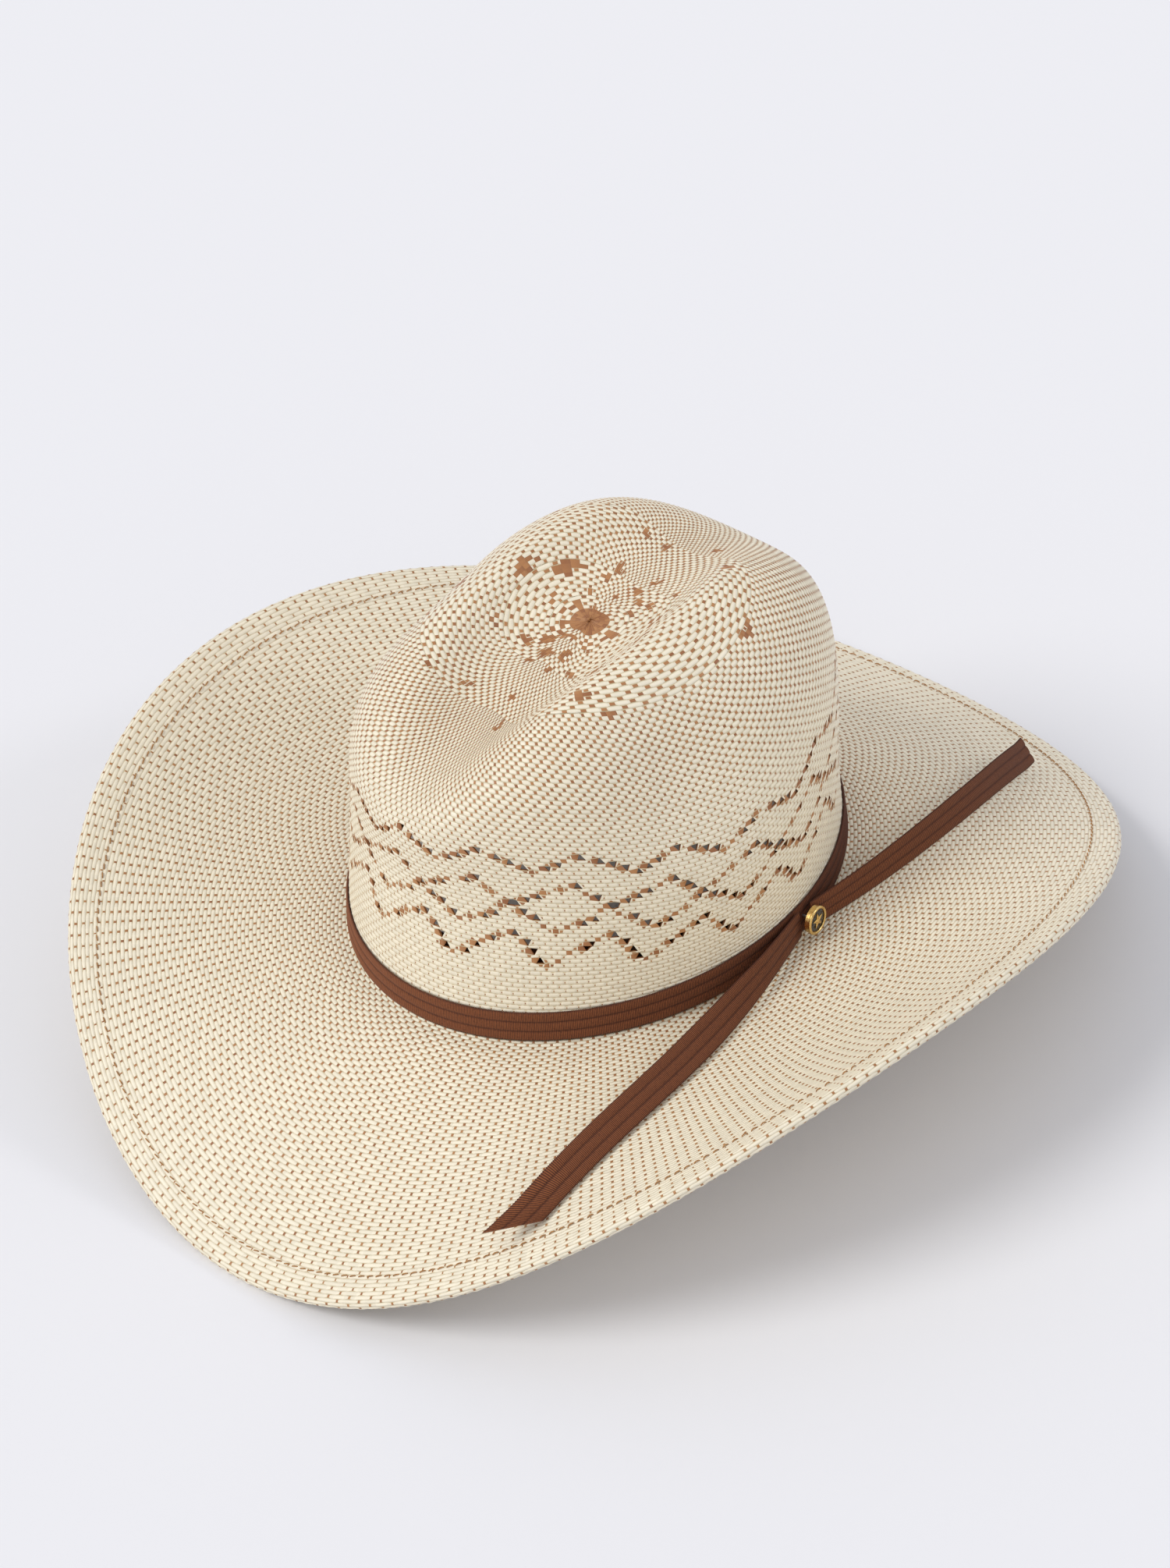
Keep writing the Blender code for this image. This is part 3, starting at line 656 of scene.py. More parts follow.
@dataclass
class StrawBody:
    """Crown, brim and folded hem, woven in one from the top of the crown to the hem."""

    shape: HatShape
    strands: int = 272
    thick: float = 1.0 * MM
    relief: float = 0.16 * MM
    fold_radius: float = 2.4 * MM
    hem_width: float = 12.5 * MM
    hem_courses: int = 9
    fold_courses: int = 5
    brim_courses: int = 70
    break_courses: int = 2
    crown_courses: int = 112
    side_sag: float = 0.048         # how much higher the courses run in front than at the sides
    brown_strand: float = 1.05 * MM
    motifs: int = 16                # openwork motifs round the crown
    top_course: int = 43            # course of the openwork's highest points
    vents: tuple[tuple[tuple[float, float], ...], ...] = (
        ((0.0, 0.0), (9.0, -4.0), (17.0, 0.0)),
        ((-2.6, -7.0), (10.3, -18.0), (31.4, -7.0)),
        ((3.0, -19.0), (8.5, -26.0), (20.0, -19.0)),
    )
    # Courses from the middle of the crown at which the number of strands doubles.
    doublings: tuple[tuple[int, int], ...] = ((8, 34), (17, 68), (35, 136))
    seed: int = 7
    material: bpy.types.Material = field(init=False)

    def __post_init__(self) -> None:
        """Make the straw and count the courses from the hem to the top."""
        self.material = WovenStraw().build()
        self.fold_start = self.hem_courses
        self.brim_start = self.fold_start + self.fold_courses
        self.break_start = self.brim_start + self.brim_courses
        self.crown_start = self.break_start + self.break_courses
        self.crown_end = self.crown_start + self.crown_courses
        self.random = np.random.default_rng(self.seed)

    def brim_points(self, phi: Array, courses: Array) -> Array:
        """Section of the brim carried round the hat: flap, half round fold, face, then the break."""
        width = self.shape.brim_width(phi)
        edge_t = 1.0 - self.fold_radius / width
        outward, upward = self.shape.brim_frame(phi, edge_t)
        middle = self.shape.brim(phi, edge_t) - upward * self.fold_radius
        low = self.shape.wall(phi, self.shape.break_radius, 0.0)
        top = self.shape.brim(phi, 0.0 * phi)
        bend = self.shape.crown(phi, 0.0 * phi) * 0.5 + (low + top) * 0.25
        rows = []
        for course in courses:
            if course < self.fold_start:
                back = 1.0 - course / self.hem_courses
                drop = np.interp(back, (0.0, 0.5, 1.0), (4.8 * MM, 3.2 * MM, 2.3 * MM))
                rows.append(self.shape.above_brim(phi, self.fold_radius + back * self.hem_width, -drop))
            elif course < self.brim_start:
                turn = math.pi * (1.0 - (course - self.fold_start) / self.fold_courses)
                bent = math.cos(turn) * upward + math.sin(turn) * outward
                rows.append(middle + self.fold_radius * bent)
            elif course <= self.break_start:
                share = 1.0 - (course - self.brim_start) / self.brim_courses
                rows.append(self.shape.brim(phi, share * edge_t))
            else:
                share = (course - self.break_start) / self.break_courses
                rows.append(top * (1 - share) ** 2 + bend * 2 * share * (1 - share) + low * share ** 2)
        return np.array(rows)

    def crown_points(self, phi: Array, courses: Array) -> Array:
        """Wall and top of the crown: courses evenly spaced along each strand, sagging at the sides."""
        samples = np.linspace(0.0, 1.0, 401)
        lines = self.shape.crown(phi[:, None], samples[None, :])
        length = np.concatenate([np.zeros((len(phi), 1)), np.cumsum(
            np.linalg.norm(np.diff(lines, axis=1), axis=-1), axis=1)], axis=1)
        length /= length[:, -1:]
        share = ((courses - self.crown_start) / self.crown_courses)[:, None]
        share = share + self.side_sag * np.cos(2 * phi) * 4 * share * (1 - share)
        first = 0.008
        share = first + share * (1.0 - first)
        u = np.stack([np.interp(share[:, k], length[k], samples) for k in range(len(phi))], axis=1)
        return self.shape.crown(np.broadcast_to(phi, u.shape), u)

    def openwork(self, kept: Array, patch: Array, widths: Array, heights: Array, shift: Array) -> None:
        """Zig-zag lines of openwork: at each step a brown crossing and a hole that opens the weave.

        Args:
            kept: cells of the wall; holes are taken out of it.
            patch: brown cells.
            widths: half width of brown at the fine points.
            heights: half height of brown at the fine points.
            shift: how far each corner is pushed aside by the holes, in strands and courses.
        """
        rows, columns = kept.shape
        repeat = columns / self.motifs
        for motif in range(self.motifs):
            for line in self.vents:
                for (x0, y0), (x1, y1) in zip(line[:-1], line[1:]):
                    falls = y1 < y0
                    steps = max(2, round(math.hypot(x1 - x0, y1 - y0) / 2.3))
                    for step in range(steps):
                        share = (step + 0.15) / steps
                        x = motif * repeat + x0 + (x1 - x0) * share
                        y = self.top_course + y0 + (y1 - y0) * share
                        column, row = int(round(x)) % columns, int(round(y))
                        patch[row, column] = 1.0
                        fine_r, fine_c = np.meshgrid(np.arange(-3, 6), np.arange(-3, 6), indexing="ij")
                        near = (2 * row + fine_r, (2 * column + fine_c) % (2 * columns))
                        boost = np.exp(-((fine_r - 1) ** 2 + (fine_c - 1) ** 2) / 7.0)
                        widths[near] = np.maximum(widths[near], 0.42 * boost)
                        heights[near] = np.maximum(heights[near], 0.42 * boost)
                        if self.random.random() > (0.88 if falls else 0.5):
                            continue
                        hole = (column + 1) % columns
                        kept[row, hole] = False
                        patch[row, hole] = 0.0
                        size = 0.24 if falls else 0.1
                        pinched = int(self.random.random() < 0.5)
                        for dr, dc in ((0, 0), (0, 1), (1, 0), (1, 1)):
                            spot = (row + dr, (hole + dc) % columns)
                            spread = -0.4 if dr == pinched else size
                            shift[spot] += (spread * (2 * dc - 1), size * (2 * dr - 1))

    def flames(self, patch: Array, courses: tuple[int, ...]) -> None:
        """Brown blotches where strands are added: small ragged clusters of brown cells."""
        rows, columns = patch.shape
        for course in courses:
            blotches = self.random.integers(7, 11)
            for k in range(blotches):
                middle = int((k + self.random.random() * 0.7) * columns / blotches)
                row = course + int(self.random.integers(-2, 3))
                size = self.random.integers(1, 3)
                for dr in range(-size, size + 1):
                    for dc in range(-size, size + 1):
                        if abs(dr) + abs(dc) <= size and self.random.random() < 0.72:
                            place = min(max(row + dr, 0), rows - 1)
                            patch[place, (middle + dc) % columns] = 1.0

    def cells(self, points: Callable[[Array, Array], Array], first: int, last: int, strands: int,
              share: Callable[[Array, Array], tuple[Array, Array]], pole: bool = False,
              vented: bool = False, flame_courses: tuple[int, ...] = ()) -> WeavePart:
        """Weave a band of courses.

        Args:
            points: surface as a function of strand angles and courses.
            first: first course.
            last: last course.
            strands: strands in this band.
            share: half width and half height of the brown at each fine point, from the strand
                spacing and the course.
            pole: whether the last course closes the crown.
            vented: whether the openwork is in this band.
            flame_courses: courses of this band with brown blotches, counted from its first.

        Returns:
            The woven solid.
        """
        rows = last - first
        phi = self.shape.strand_angle(np.arange(2 * strands) / (2 * strands))
        courses = first + np.arange(2 * rows + 1) / 2
        grid = points(phi, courses)
        direction = normals(grid)
        if pole:
            direction[-1] = (0.0, 0.0, 1.0)
        pitch = 2 * np.linalg.norm(np.roll(grid, -1, axis=1) - grid, axis=-1)
        widths, heights = share(pitch, np.broadcast_to(courses[:, None], pitch.shape))
        kept = np.ones((rows, strands), bool)
        patch = np.zeros((rows, strands))
        shift = np.zeros((rows + 1, strands, 2))
        if vented:
            self.openwork(kept, patch, widths, heights, shift)
        if flame_courses:
            self.flames(patch, flame_courses)
        if pole:
            patch[-4:] = 1.0
            kept[:] = True
        corners = grid[::2, ::2]
        along = np.roll(corners, -1, axis=1) - corners
        upward = np.gradient(corners, axis=0)
        moved = corners + along * shift[..., :1] + upward * shift[..., 1:]
        inner = moved - direction[::2, ::2] * self.thick
        slip = moved - corners
        slip = slip[:-1] + slip[1:]
        slip = (slip + np.roll(slip, -1, axis=1)) / 4
        r, c = np.meshgrid(np.arange(rows), np.arange(strands), indexing="ij")
        cream_over = (r + c + first) % 2
        raised = self.relief * np.where(cream_over == 1, 0.9, 0.35)
        fine = grid.copy()
        fine[::2, ::2] = moved - direction[::2, ::2] * self.relief * 0.6
        fine[1::2, 1::2] += slip + direction[1::2, 1::2] * raised[..., None]
        if pole:
            fine[-1] = fine[-1].mean(axis=0)
            inner[-1] = inner[-1].mean(axis=0)
        return weave_solid(fine, inner, first, kept, widths, heights, patch, pole)

    def brim_share(self, pitch: Array, course: Array) -> tuple[Array, Array]:
        """Brown on the brim: narrow strands, farther apart towards the edge, drawn in at the hem."""
        hem = np.exp(-((course - self.brim_start - 5.0) / 3.0) ** 2)
        width = 0.5 * self.brown_strand / pitch * (1 - 0.45 * hem)
        return np.clip(width, 0.06, 0.4), 0.36 * (1 - 0.25 * hem)

    def crown_share(self, pitch: Array, course: Array) -> tuple[Array, Array]:
        """Brown on the crown: nearly hidden below the openwork, an even chequer near the top."""
        up = course - self.crown_start
        sides = np.sin(np.linspace(0.0, 2 * math.pi, up.shape[1], endpoint=False))[None, :] ** 2
        steps = (0, 34, 44, 56, 70, 93, 106, 112)
        width = np.interp(up, steps, (0.11, 0.13, 0.19, 0.3, 0.37, 0.33, 0.36, 0.5))
        height = np.interp(up, steps, (0.15, 0.17, 0.23, 0.33, 0.38, 0.37, 0.4, 0.5))
        return width * (1 - 0.25 * sides), height * (1 - 0.15 * sides)

    def build(self) -> None:
        """Weave brim and crown."""
        brim = self.cells(self.brim_points, 0, self.crown_start, self.strands, self.brim_share)
        brim_piece = woven_piece("woven_brim", [brim])
        finish_piece(brim_piece, self.material, "straw", "hat", "straw_body")
        edges = [self.crown_end - courses for courses, _ in reversed(self.doublings)]
        first, parts = self.crown_start, []
        counts = [self.strands] + [count for _, count in reversed(self.doublings)]
        for k, (last, strands) in enumerate(zip(edges + [self.crown_end], counts)):
            flame_courses = (last - first - 3,) if k == 0 else (3, last - first - 2)
            parts.append(self.cells(self.crown_points, first, last, strands, self.crown_share,
                                    pole=k == len(edges), vented=k == 0, flame_courses=flame_courses))
            first = last
        crown_piece = woven_piece("woven_crown", parts)
        finish_piece(crown_piece, self.material, "straw", "hat", "straw_body")


# ---------------------------------------------------------------- ribbon and pin


@dataclass(frozen=True)
class RibbonCut:
    """One strip of the grosgrain: three flat ribs along it, fine ribs across it, a picot edge."""

    width: float = 12.2 * MM
    thick: float = 0.9 * MM
    cross_rib: float = 0.66 * MM
    groove_depth: float = 0.42 * MM
    picot: float = 0.13 * MM
    across: tuple[float, ...] = (0.0, 0.03, 0.1, 0.2, 0.28, 0.31, 0.333, 0.356, 0.4, 0.5, 0.6, 0.644,
                                 0.667, 0.69, 0.72, 0.8, 0.9, 0.97, 1.0)

    def relief(self) -> Array:
        """Depth below the outer face across the strip: three rounded ribs run along it."""
        w = np.array(self.across)
        return self.groove_depth * (1 - np.abs(np.sin(3 * math.pi * w))) ** 1.6

    def strip(self, name: str, low: Array, rise: Array, out: Array, closed: bool) -> bpy.types.Object:
        """Carry the section along the strip, two columns to a cross rib.

        Args:
            name: name of the piece.
            low: points along the lower edge of the outer face.
            rise: for each point, the vector across to the upper edge.
            out: for each point, the direction out of the outer face.
            closed: whether the strip runs right round.

        Returns:
            The strip.
        """
        w = np.array(self.across)[:, None, None]
        ridge = np.where(np.arange(len(low)) % 2 == 0, 1.0, -1.0)[None, :, None]
        edge = (np.abs(2 * w - 1) > 0.99) * np.sign(2 * w - 1)
        middle = low[None] + rise[None] * w + unit(rise)[None] * edge * ridge * self.picot
        outer = middle + out[None] * (0.05 * MM * ridge - self.relief()[:, None, None])
        inner = middle - out[None] * (self.thick - 0.3 * self.relief()[:, None, None])

        def place(row: Array, column: Array) -> Array:
            """Cross ribs along and the share of the width across."""
            return np.stack([column / 2.0, np.array(self.across)[row]], -1)

        return shell(name, outer, inner, place, closed, 60.0)


@dataclass(frozen=True)
class LooseEnd:
    """Route and cut of one loose end of the ribbon.

    Its lower edge leaves the crown beside the pin and ends over the brim, at an angle round the
    hat in degrees and a share of the brim's width. Lengths are in mm.
    """

    name: str
    node: str
    body: str
    start: float                    # along the crown's tangent, from the pin
    end: tuple[float, float]
    bend: float                     # how far its middle stands out from the straight line
    leans: tuple[float, ...]        # degrees from upright, evenly spaced along it
    layers: int                     # layers of ribbon from the crown to its outer face
    low_reach: float                # how far the lower edge runs past the end
    high_reach: float               # the same for the upper edge: the slant of the cut


@dataclass
class Hatband:
    """Ribbon round the foot of the crown and its two loose ends, which cross under the pin."""

    shape: HatShape
    cut: RibbonCut = RibbonCut()
    low: float = 2.2 * MM
    tail_lift: float = 2.4 * MM
    settle: float = 55.0 * MM       # length in which a loose end comes down on to the brim
    cut_length: float = 25.0 * MM   # length in which a loose end comes to its slanted cut
    smoothing: int = 9              # places each side over which the brim's height is averaged
    pin_phi: float = math.radians(101.0)
    round_length: float = 605.0 * MM
    ends: tuple[LooseEnd, ...] = (
        LooseEnd("ribbon_end_front", "ribbon_tail_front", "front_tail", -4.0, (39.5, 0.86), 8.5,
                 (0, 12, 34, 52, 60, 62, 62, 62), 2, -3.7, 16.2),
        LooseEnd("ribbon_end_back", "ribbon_tail_back", "back_tail", 4.0, (154.0, 0.765), 11.0,
                 (0, 5, 10, 14, 17, 19, 22, 24), 3, 1.0, 0.5),
    )

    def build(self) -> None:
        """Make band and ends."""
        material = Grosgrain().build()
        columns = 2 * round(self.round_length / self.cut.cross_rib)
        phi = self.shape.strand_angle(np.arange(columns) / columns)
        inset = -GAP - self.cut.thick
        low = self.shape.wall(phi, self.low, inset)
        high = self.shape.wall(phi, self.low + self.cut.width, inset)
        band = self.cut.strip("ribbon_band", low, high - low, self.shape.wall_out(phi), True)
        finish_piece(band, material, "ribbon", "hat", "hatband_ribbon")
        for end in self.ends:
            finish_piece(self.tail(end), material, "ribbon", end.body, end.node)

    def over_brim(self, plan: Array) -> Array:
        """Height of the brim's upper face at places in plan, from the nearest of a fine grid."""
        phi = np.radians(np.linspace(20.0, 175.0, 620))[:, None]
        face = self.shape.brim(phi, np.linspace(0.0, 1.0, 160)[None, :]).reshape(-1, 3)
        nearest = [np.argmin(((face[:, :2] - place) ** 2).sum(axis=1)) for place in plan]
        return face[nearest, 2]

    def tail(self, end: LooseEnd) -> bpy.types.Object:
        """Loose end: nearly straight in plan from the pin, settling on to the brim."""
        out = self.shape.wall_out(np.array(self.pin_phi))
        tangent = np.cross((0.0, 0.0, 1.0), out)
        start = self.shape.wall(np.array(self.pin_phi), self.low, 0.0) + tangent * end.start * MM
        last = self.shape.brim(np.array(math.radians(end.end[0])), np.array(end.end[1]))
        fine = np.linspace(0.0, 1.0, 160)
        path = start + (last - start) * fine[:, None]
        path += out * (end.bend * MM * np.sin(math.pi * fine))[:, None]
        settled = np.clip(np.linalg.norm(path - start, axis=-1) / self.settle, 0.0, 1.0)
        settled = settled ** 2 * (3 - 2 * settled)
        rest = self.over_brim(path[:, :2]) + self.tail_lift
        window = 2 * self.smoothing + 1
        rest = np.pad(rest, self.smoothing, mode="edge")
        rest = np.convolve(rest, np.ones(window) / window, mode="valid")
        path[:, 2] = start[2] + (rest - start[2]) * settled
        angle = np.radians(np.interp(fine, np.linspace(0.0, 1.0, len(end.leans)), end.leans))
        length = np.concatenate([[0.0], np.cumsum(np.linalg.norm(np.diff(path, axis=0), axis=-1))])
        columns = 2 * round(length[-1] / self.cut.cross_rib)
        s = np.linspace(0.0, length[-1], columns)
        low = np.stack([np.interp(s, length, path[:, k]) for k in range(3)], -1)
        angle = np.interp(s, length, angle)
        along = unit(np.gradient(low, axis=0))
        flat = unit(np.cross(along, np.array([0.0, 0.0, 1.0])))
        flat *= np.sign(flat[:, :1])
        rise = np.cos(angle)[:, None] * np.array([0.0, 0.0, 1.0]) - np.sin(angle)[:, None] * flat
        layer = end.layers * (GAP + self.cut.thick)
        low = low + flat * layer * np.cos(angle)[:, None]
        outward = unit(np.cross(along, rise))
        outward *= np.sign(outward[:1, :1])
        ease = np.clip((s - length[-1]) / self.cut_length + 1.0, 0.0, 1.0)[:, None] ** 1.5
        high = low + rise * self.cut.width + along * ease * end.high_reach * MM
        low = low + along * ease * end.low_reach * MM
        if along[0, 1] < 0:
            low, high, outward = low[::-1], high[::-1], outward[::-1]
        return self.cut.strip(end.name, low, high - low, outward, False)


@dataclass
class Pin:
    """Round tack pin: gold cup, black enamel face, raised star, post and clutch."""

    shape: HatShape
    phi: float = math.radians(101.0)
    height: float = 9.1 * MM
    radius: float = 5.8 * MM
    depth: float = 3.2 * MM
    recess: float = 1.5 * MM
    enamel_radius: float = 4.5 * MM
    back: float = 3 * 1.2 * MM + 1.1 * MM + 0.3 * MM

    def place(self, depth: float) -> Matrix:
        """Frame at the pin whose local Z points out of the crown."""
        point = self.shape.wall(np.array(self.phi), self.height, -depth)
        out = Vector(self.shape.wall_out(np.array(self.phi)))
        return Matrix.Translation(Vector(point)) @ out.to_track_quat("Z", "Y").to_matrix().to_4x4()

    def build(self) -> None:
        """Make the cup, the face and the star; post and clutch keep the frame's shape."""
        gold, enamel = (trim.value.build() for trim in (Trim.GOLD, Trim.ENAMEL))
        cup = self.place(self.back)
        floor = self.depth - self.recess
        inner = self.enamel_radius + GAP
        arc = np.linspace(-0.35 * math.pi, 0.85 * math.pi, 14)
        rim = 0.62 * MM
        rim_at = (self.radius - rim, self.depth - rim)
        lip = np.stack([rim_at[0] + rim * np.cos(arc), rim_at[1] + rim * np.sin(arc)], -1)
        profile = np.concatenate([[(0.0, 0.0), (self.radius - 1.0 * MM, 0.0),
                                   (self.radius - 0.3 * MM, 0.5 * MM)], lip,
                                  [(inner, floor + 0.5 * MM), (inner, floor), (0.0, floor)]])
        finish_piece(turned("pin_cup", profile, cup), gold, "gold", "pin", "pin_bezel")
        top = floor + GAP + 0.6 * MM
        dome = np.linspace(0.0, 1.0, 9)
        face = np.stack([self.enamel_radius * dome[::-1], top + 0.18 * MM * (1 - dome[::-1] ** 2)], -1)
        face = np.concatenate([[(0.0, floor + GAP), (self.enamel_radius, floor + GAP)], face])
        finish_piece(turned("pin_face", face, cup), enamel, "enamel", "pin", "pin_enamel_face")
        finish_piece(self.star(cup, top + 0.2 * MM), gold, "gold", "pin", "pin_star")
        dress_node("pin_post", Trim.STEEL)
        dress_node("pin_clutch", Trim.GOLD)

    def star(self, cup: Matrix, low: float) -> bpy.types.Object:
        """Five-pointed star whose ten facets meet in a raised middle."""
        turn = math.pi / 2 + np.arange(10) * math.pi / 5
        radius = np.where(np.arange(10) % 2 == 0, 3.4, 1.4) * MM
        outline = np.stack([radius * np.cos(turn), radius * np.sin(turn)], -1)
        levels = [np.c_[outline, np.full(10, height)] for height in (low, low + 0.2 * MM)]
        ring = np.concatenate([*levels, [(0.0, 0.0, low), (0.0, 0.0, low + 0.65 * MM)]])
        k = np.arange(10)
        n = (k + 1) % 10
        faces = np.concatenate([
            np.stack([k, n, n + 10], -1), np.stack([k, n + 10, k + 10], -1),
            np.stack([k + 10, n + 10, np.full(10, 21)], -1), np.stack([n, k, np.full(10, 20)], -1)])
        matrix = np.array(cup)
        return mesh_piece("pin_motif", ring @ matrix[:3, :3].T + matrix[:3, 3], faces, None, 10.0)


# ---------------------------------------------------------------- stitches and the inside


def stitch_row(name: str, starts: Array, ends: Array, up: Array, radius: float,
               arch: float) -> bpy.types.Object:
    """Row of separate stitches, each a short arched thread whose ends dip into the cloth.

    Args:
        name: name of the piece.
        starts: first end of each stitch.
        ends: second end of each stitch.
        up: for each stitch, the direction out of the cloth.
        radius: radius of the thread.
        arch: height of a stitch's middle above its ends.

    Returns:
        The row, as one object.
    """
    stations = np.array([0.0, 0.15, 0.5, 0.85, 1.0])
    lifts = np.array([-0.3, 0.5, 1.0, 0.5, -0.3]) * arch
    swell = np.array([0.6, 1.0, 1.1, 1.0, 0.6]) * radius
    sides = 6
    turn = np.arange(sides) * 2 * math.pi / sides
    side = unit(np.cross(ends - starts, up))
    axis = starts[:, None] + (ends - starts)[:, None] * stations[None, :, None]
    axis = axis + up[:, None] * lifts[None, :, None]
    circle = (np.cos(turn)[None, :, None] * side[:, None] + np.sin(turn)[None, :, None] * up[:, None])
    points = axis[:, :, None] + circle[:, None] * swell[None, :, None, None]
    k = np.arange(sides)
    n = (k + 1) % sides
    rings = [np.stack([k + s * sides, k + (s + 1) * sides, n + (s + 1) * sides, n + s * sides], -1)
             for s in range(len(stations) - 1)]
    quads = np.concatenate(rings)
    middle = np.arange(1, sides - 1)
    last = (len(stations) - 1) * sides
    caps = np.concatenate([np.stack([0 * middle, middle, middle + 1], -1),
                           np.stack([0 * middle, middle + 1, middle], -1) + last])
    faces = np.concatenate([quads[:, [0, 1, 2]], quads[:, [0, 2, 3]], caps])
    shift = np.arange(len(starts)) * sides * len(stations)
    piece = mesh_piece(name, points.reshape(-1, 3), (faces[None] + shift[:, None, None]).reshape(-1, 3))
    weld(piece)
    return piece


@dataclass
class Stitching:
    """Seam that holds the folded hem, seen on the brim as separate tan stitches."""

    shape: HatShape
    from_edge: float = 11.2 * MM
    pitch: float = 3.9 * MM
    share: float = 0.66             # part of the pitch that a stitch covers
    radius: float = 0.24 * MM

    def build(self) -> None:
        """Make the row of stitches, evenly spaced along the seam."""
        fine = np.linspace(0.0, 2 * math.pi, 1441)
        line = self.shape.above_brim(fine, self.from_edge, 0.0)
        length = np.concatenate([[0.0], np.cumsum(np.linalg.norm(np.diff(line, axis=0), axis=-1))])
        count = round(length[-1] / self.pitch)
        at = np.arange(count) / count * length[-1]
        phi = np.interp(at, length, fine)
        after = np.interp(at + self.share * self.pitch, length, fine)
        t = 1.0 - self.from_edge / self.shape.brim_width(phi)
        up = self.shape.brim_frame(phi, t)[1]
        starts = self.shape.above_brim(phi, self.from_edge, 0.15 * MM)
        ends = self.shape.above_brim(after, self.from_edge + 0.5 * MM, 0.15 * MM)
        row = stitch_row("hem_stitches", starts, ends, up, self.radius, 0.35 * MM)
        finish_piece(row, Trim.THREAD.value.build(), "thread", "hat", "hem_stitching")


@dataclass(frozen=True)
class WallPatch:
    """Small thin piece against the wall: its place in degrees and mm, and its finish."""

    name: str
    node: str
    middle: float
    half_angle: float
    low: float
    high: float
    inset: float
    thick: float
    trim: Trim
    slot: str


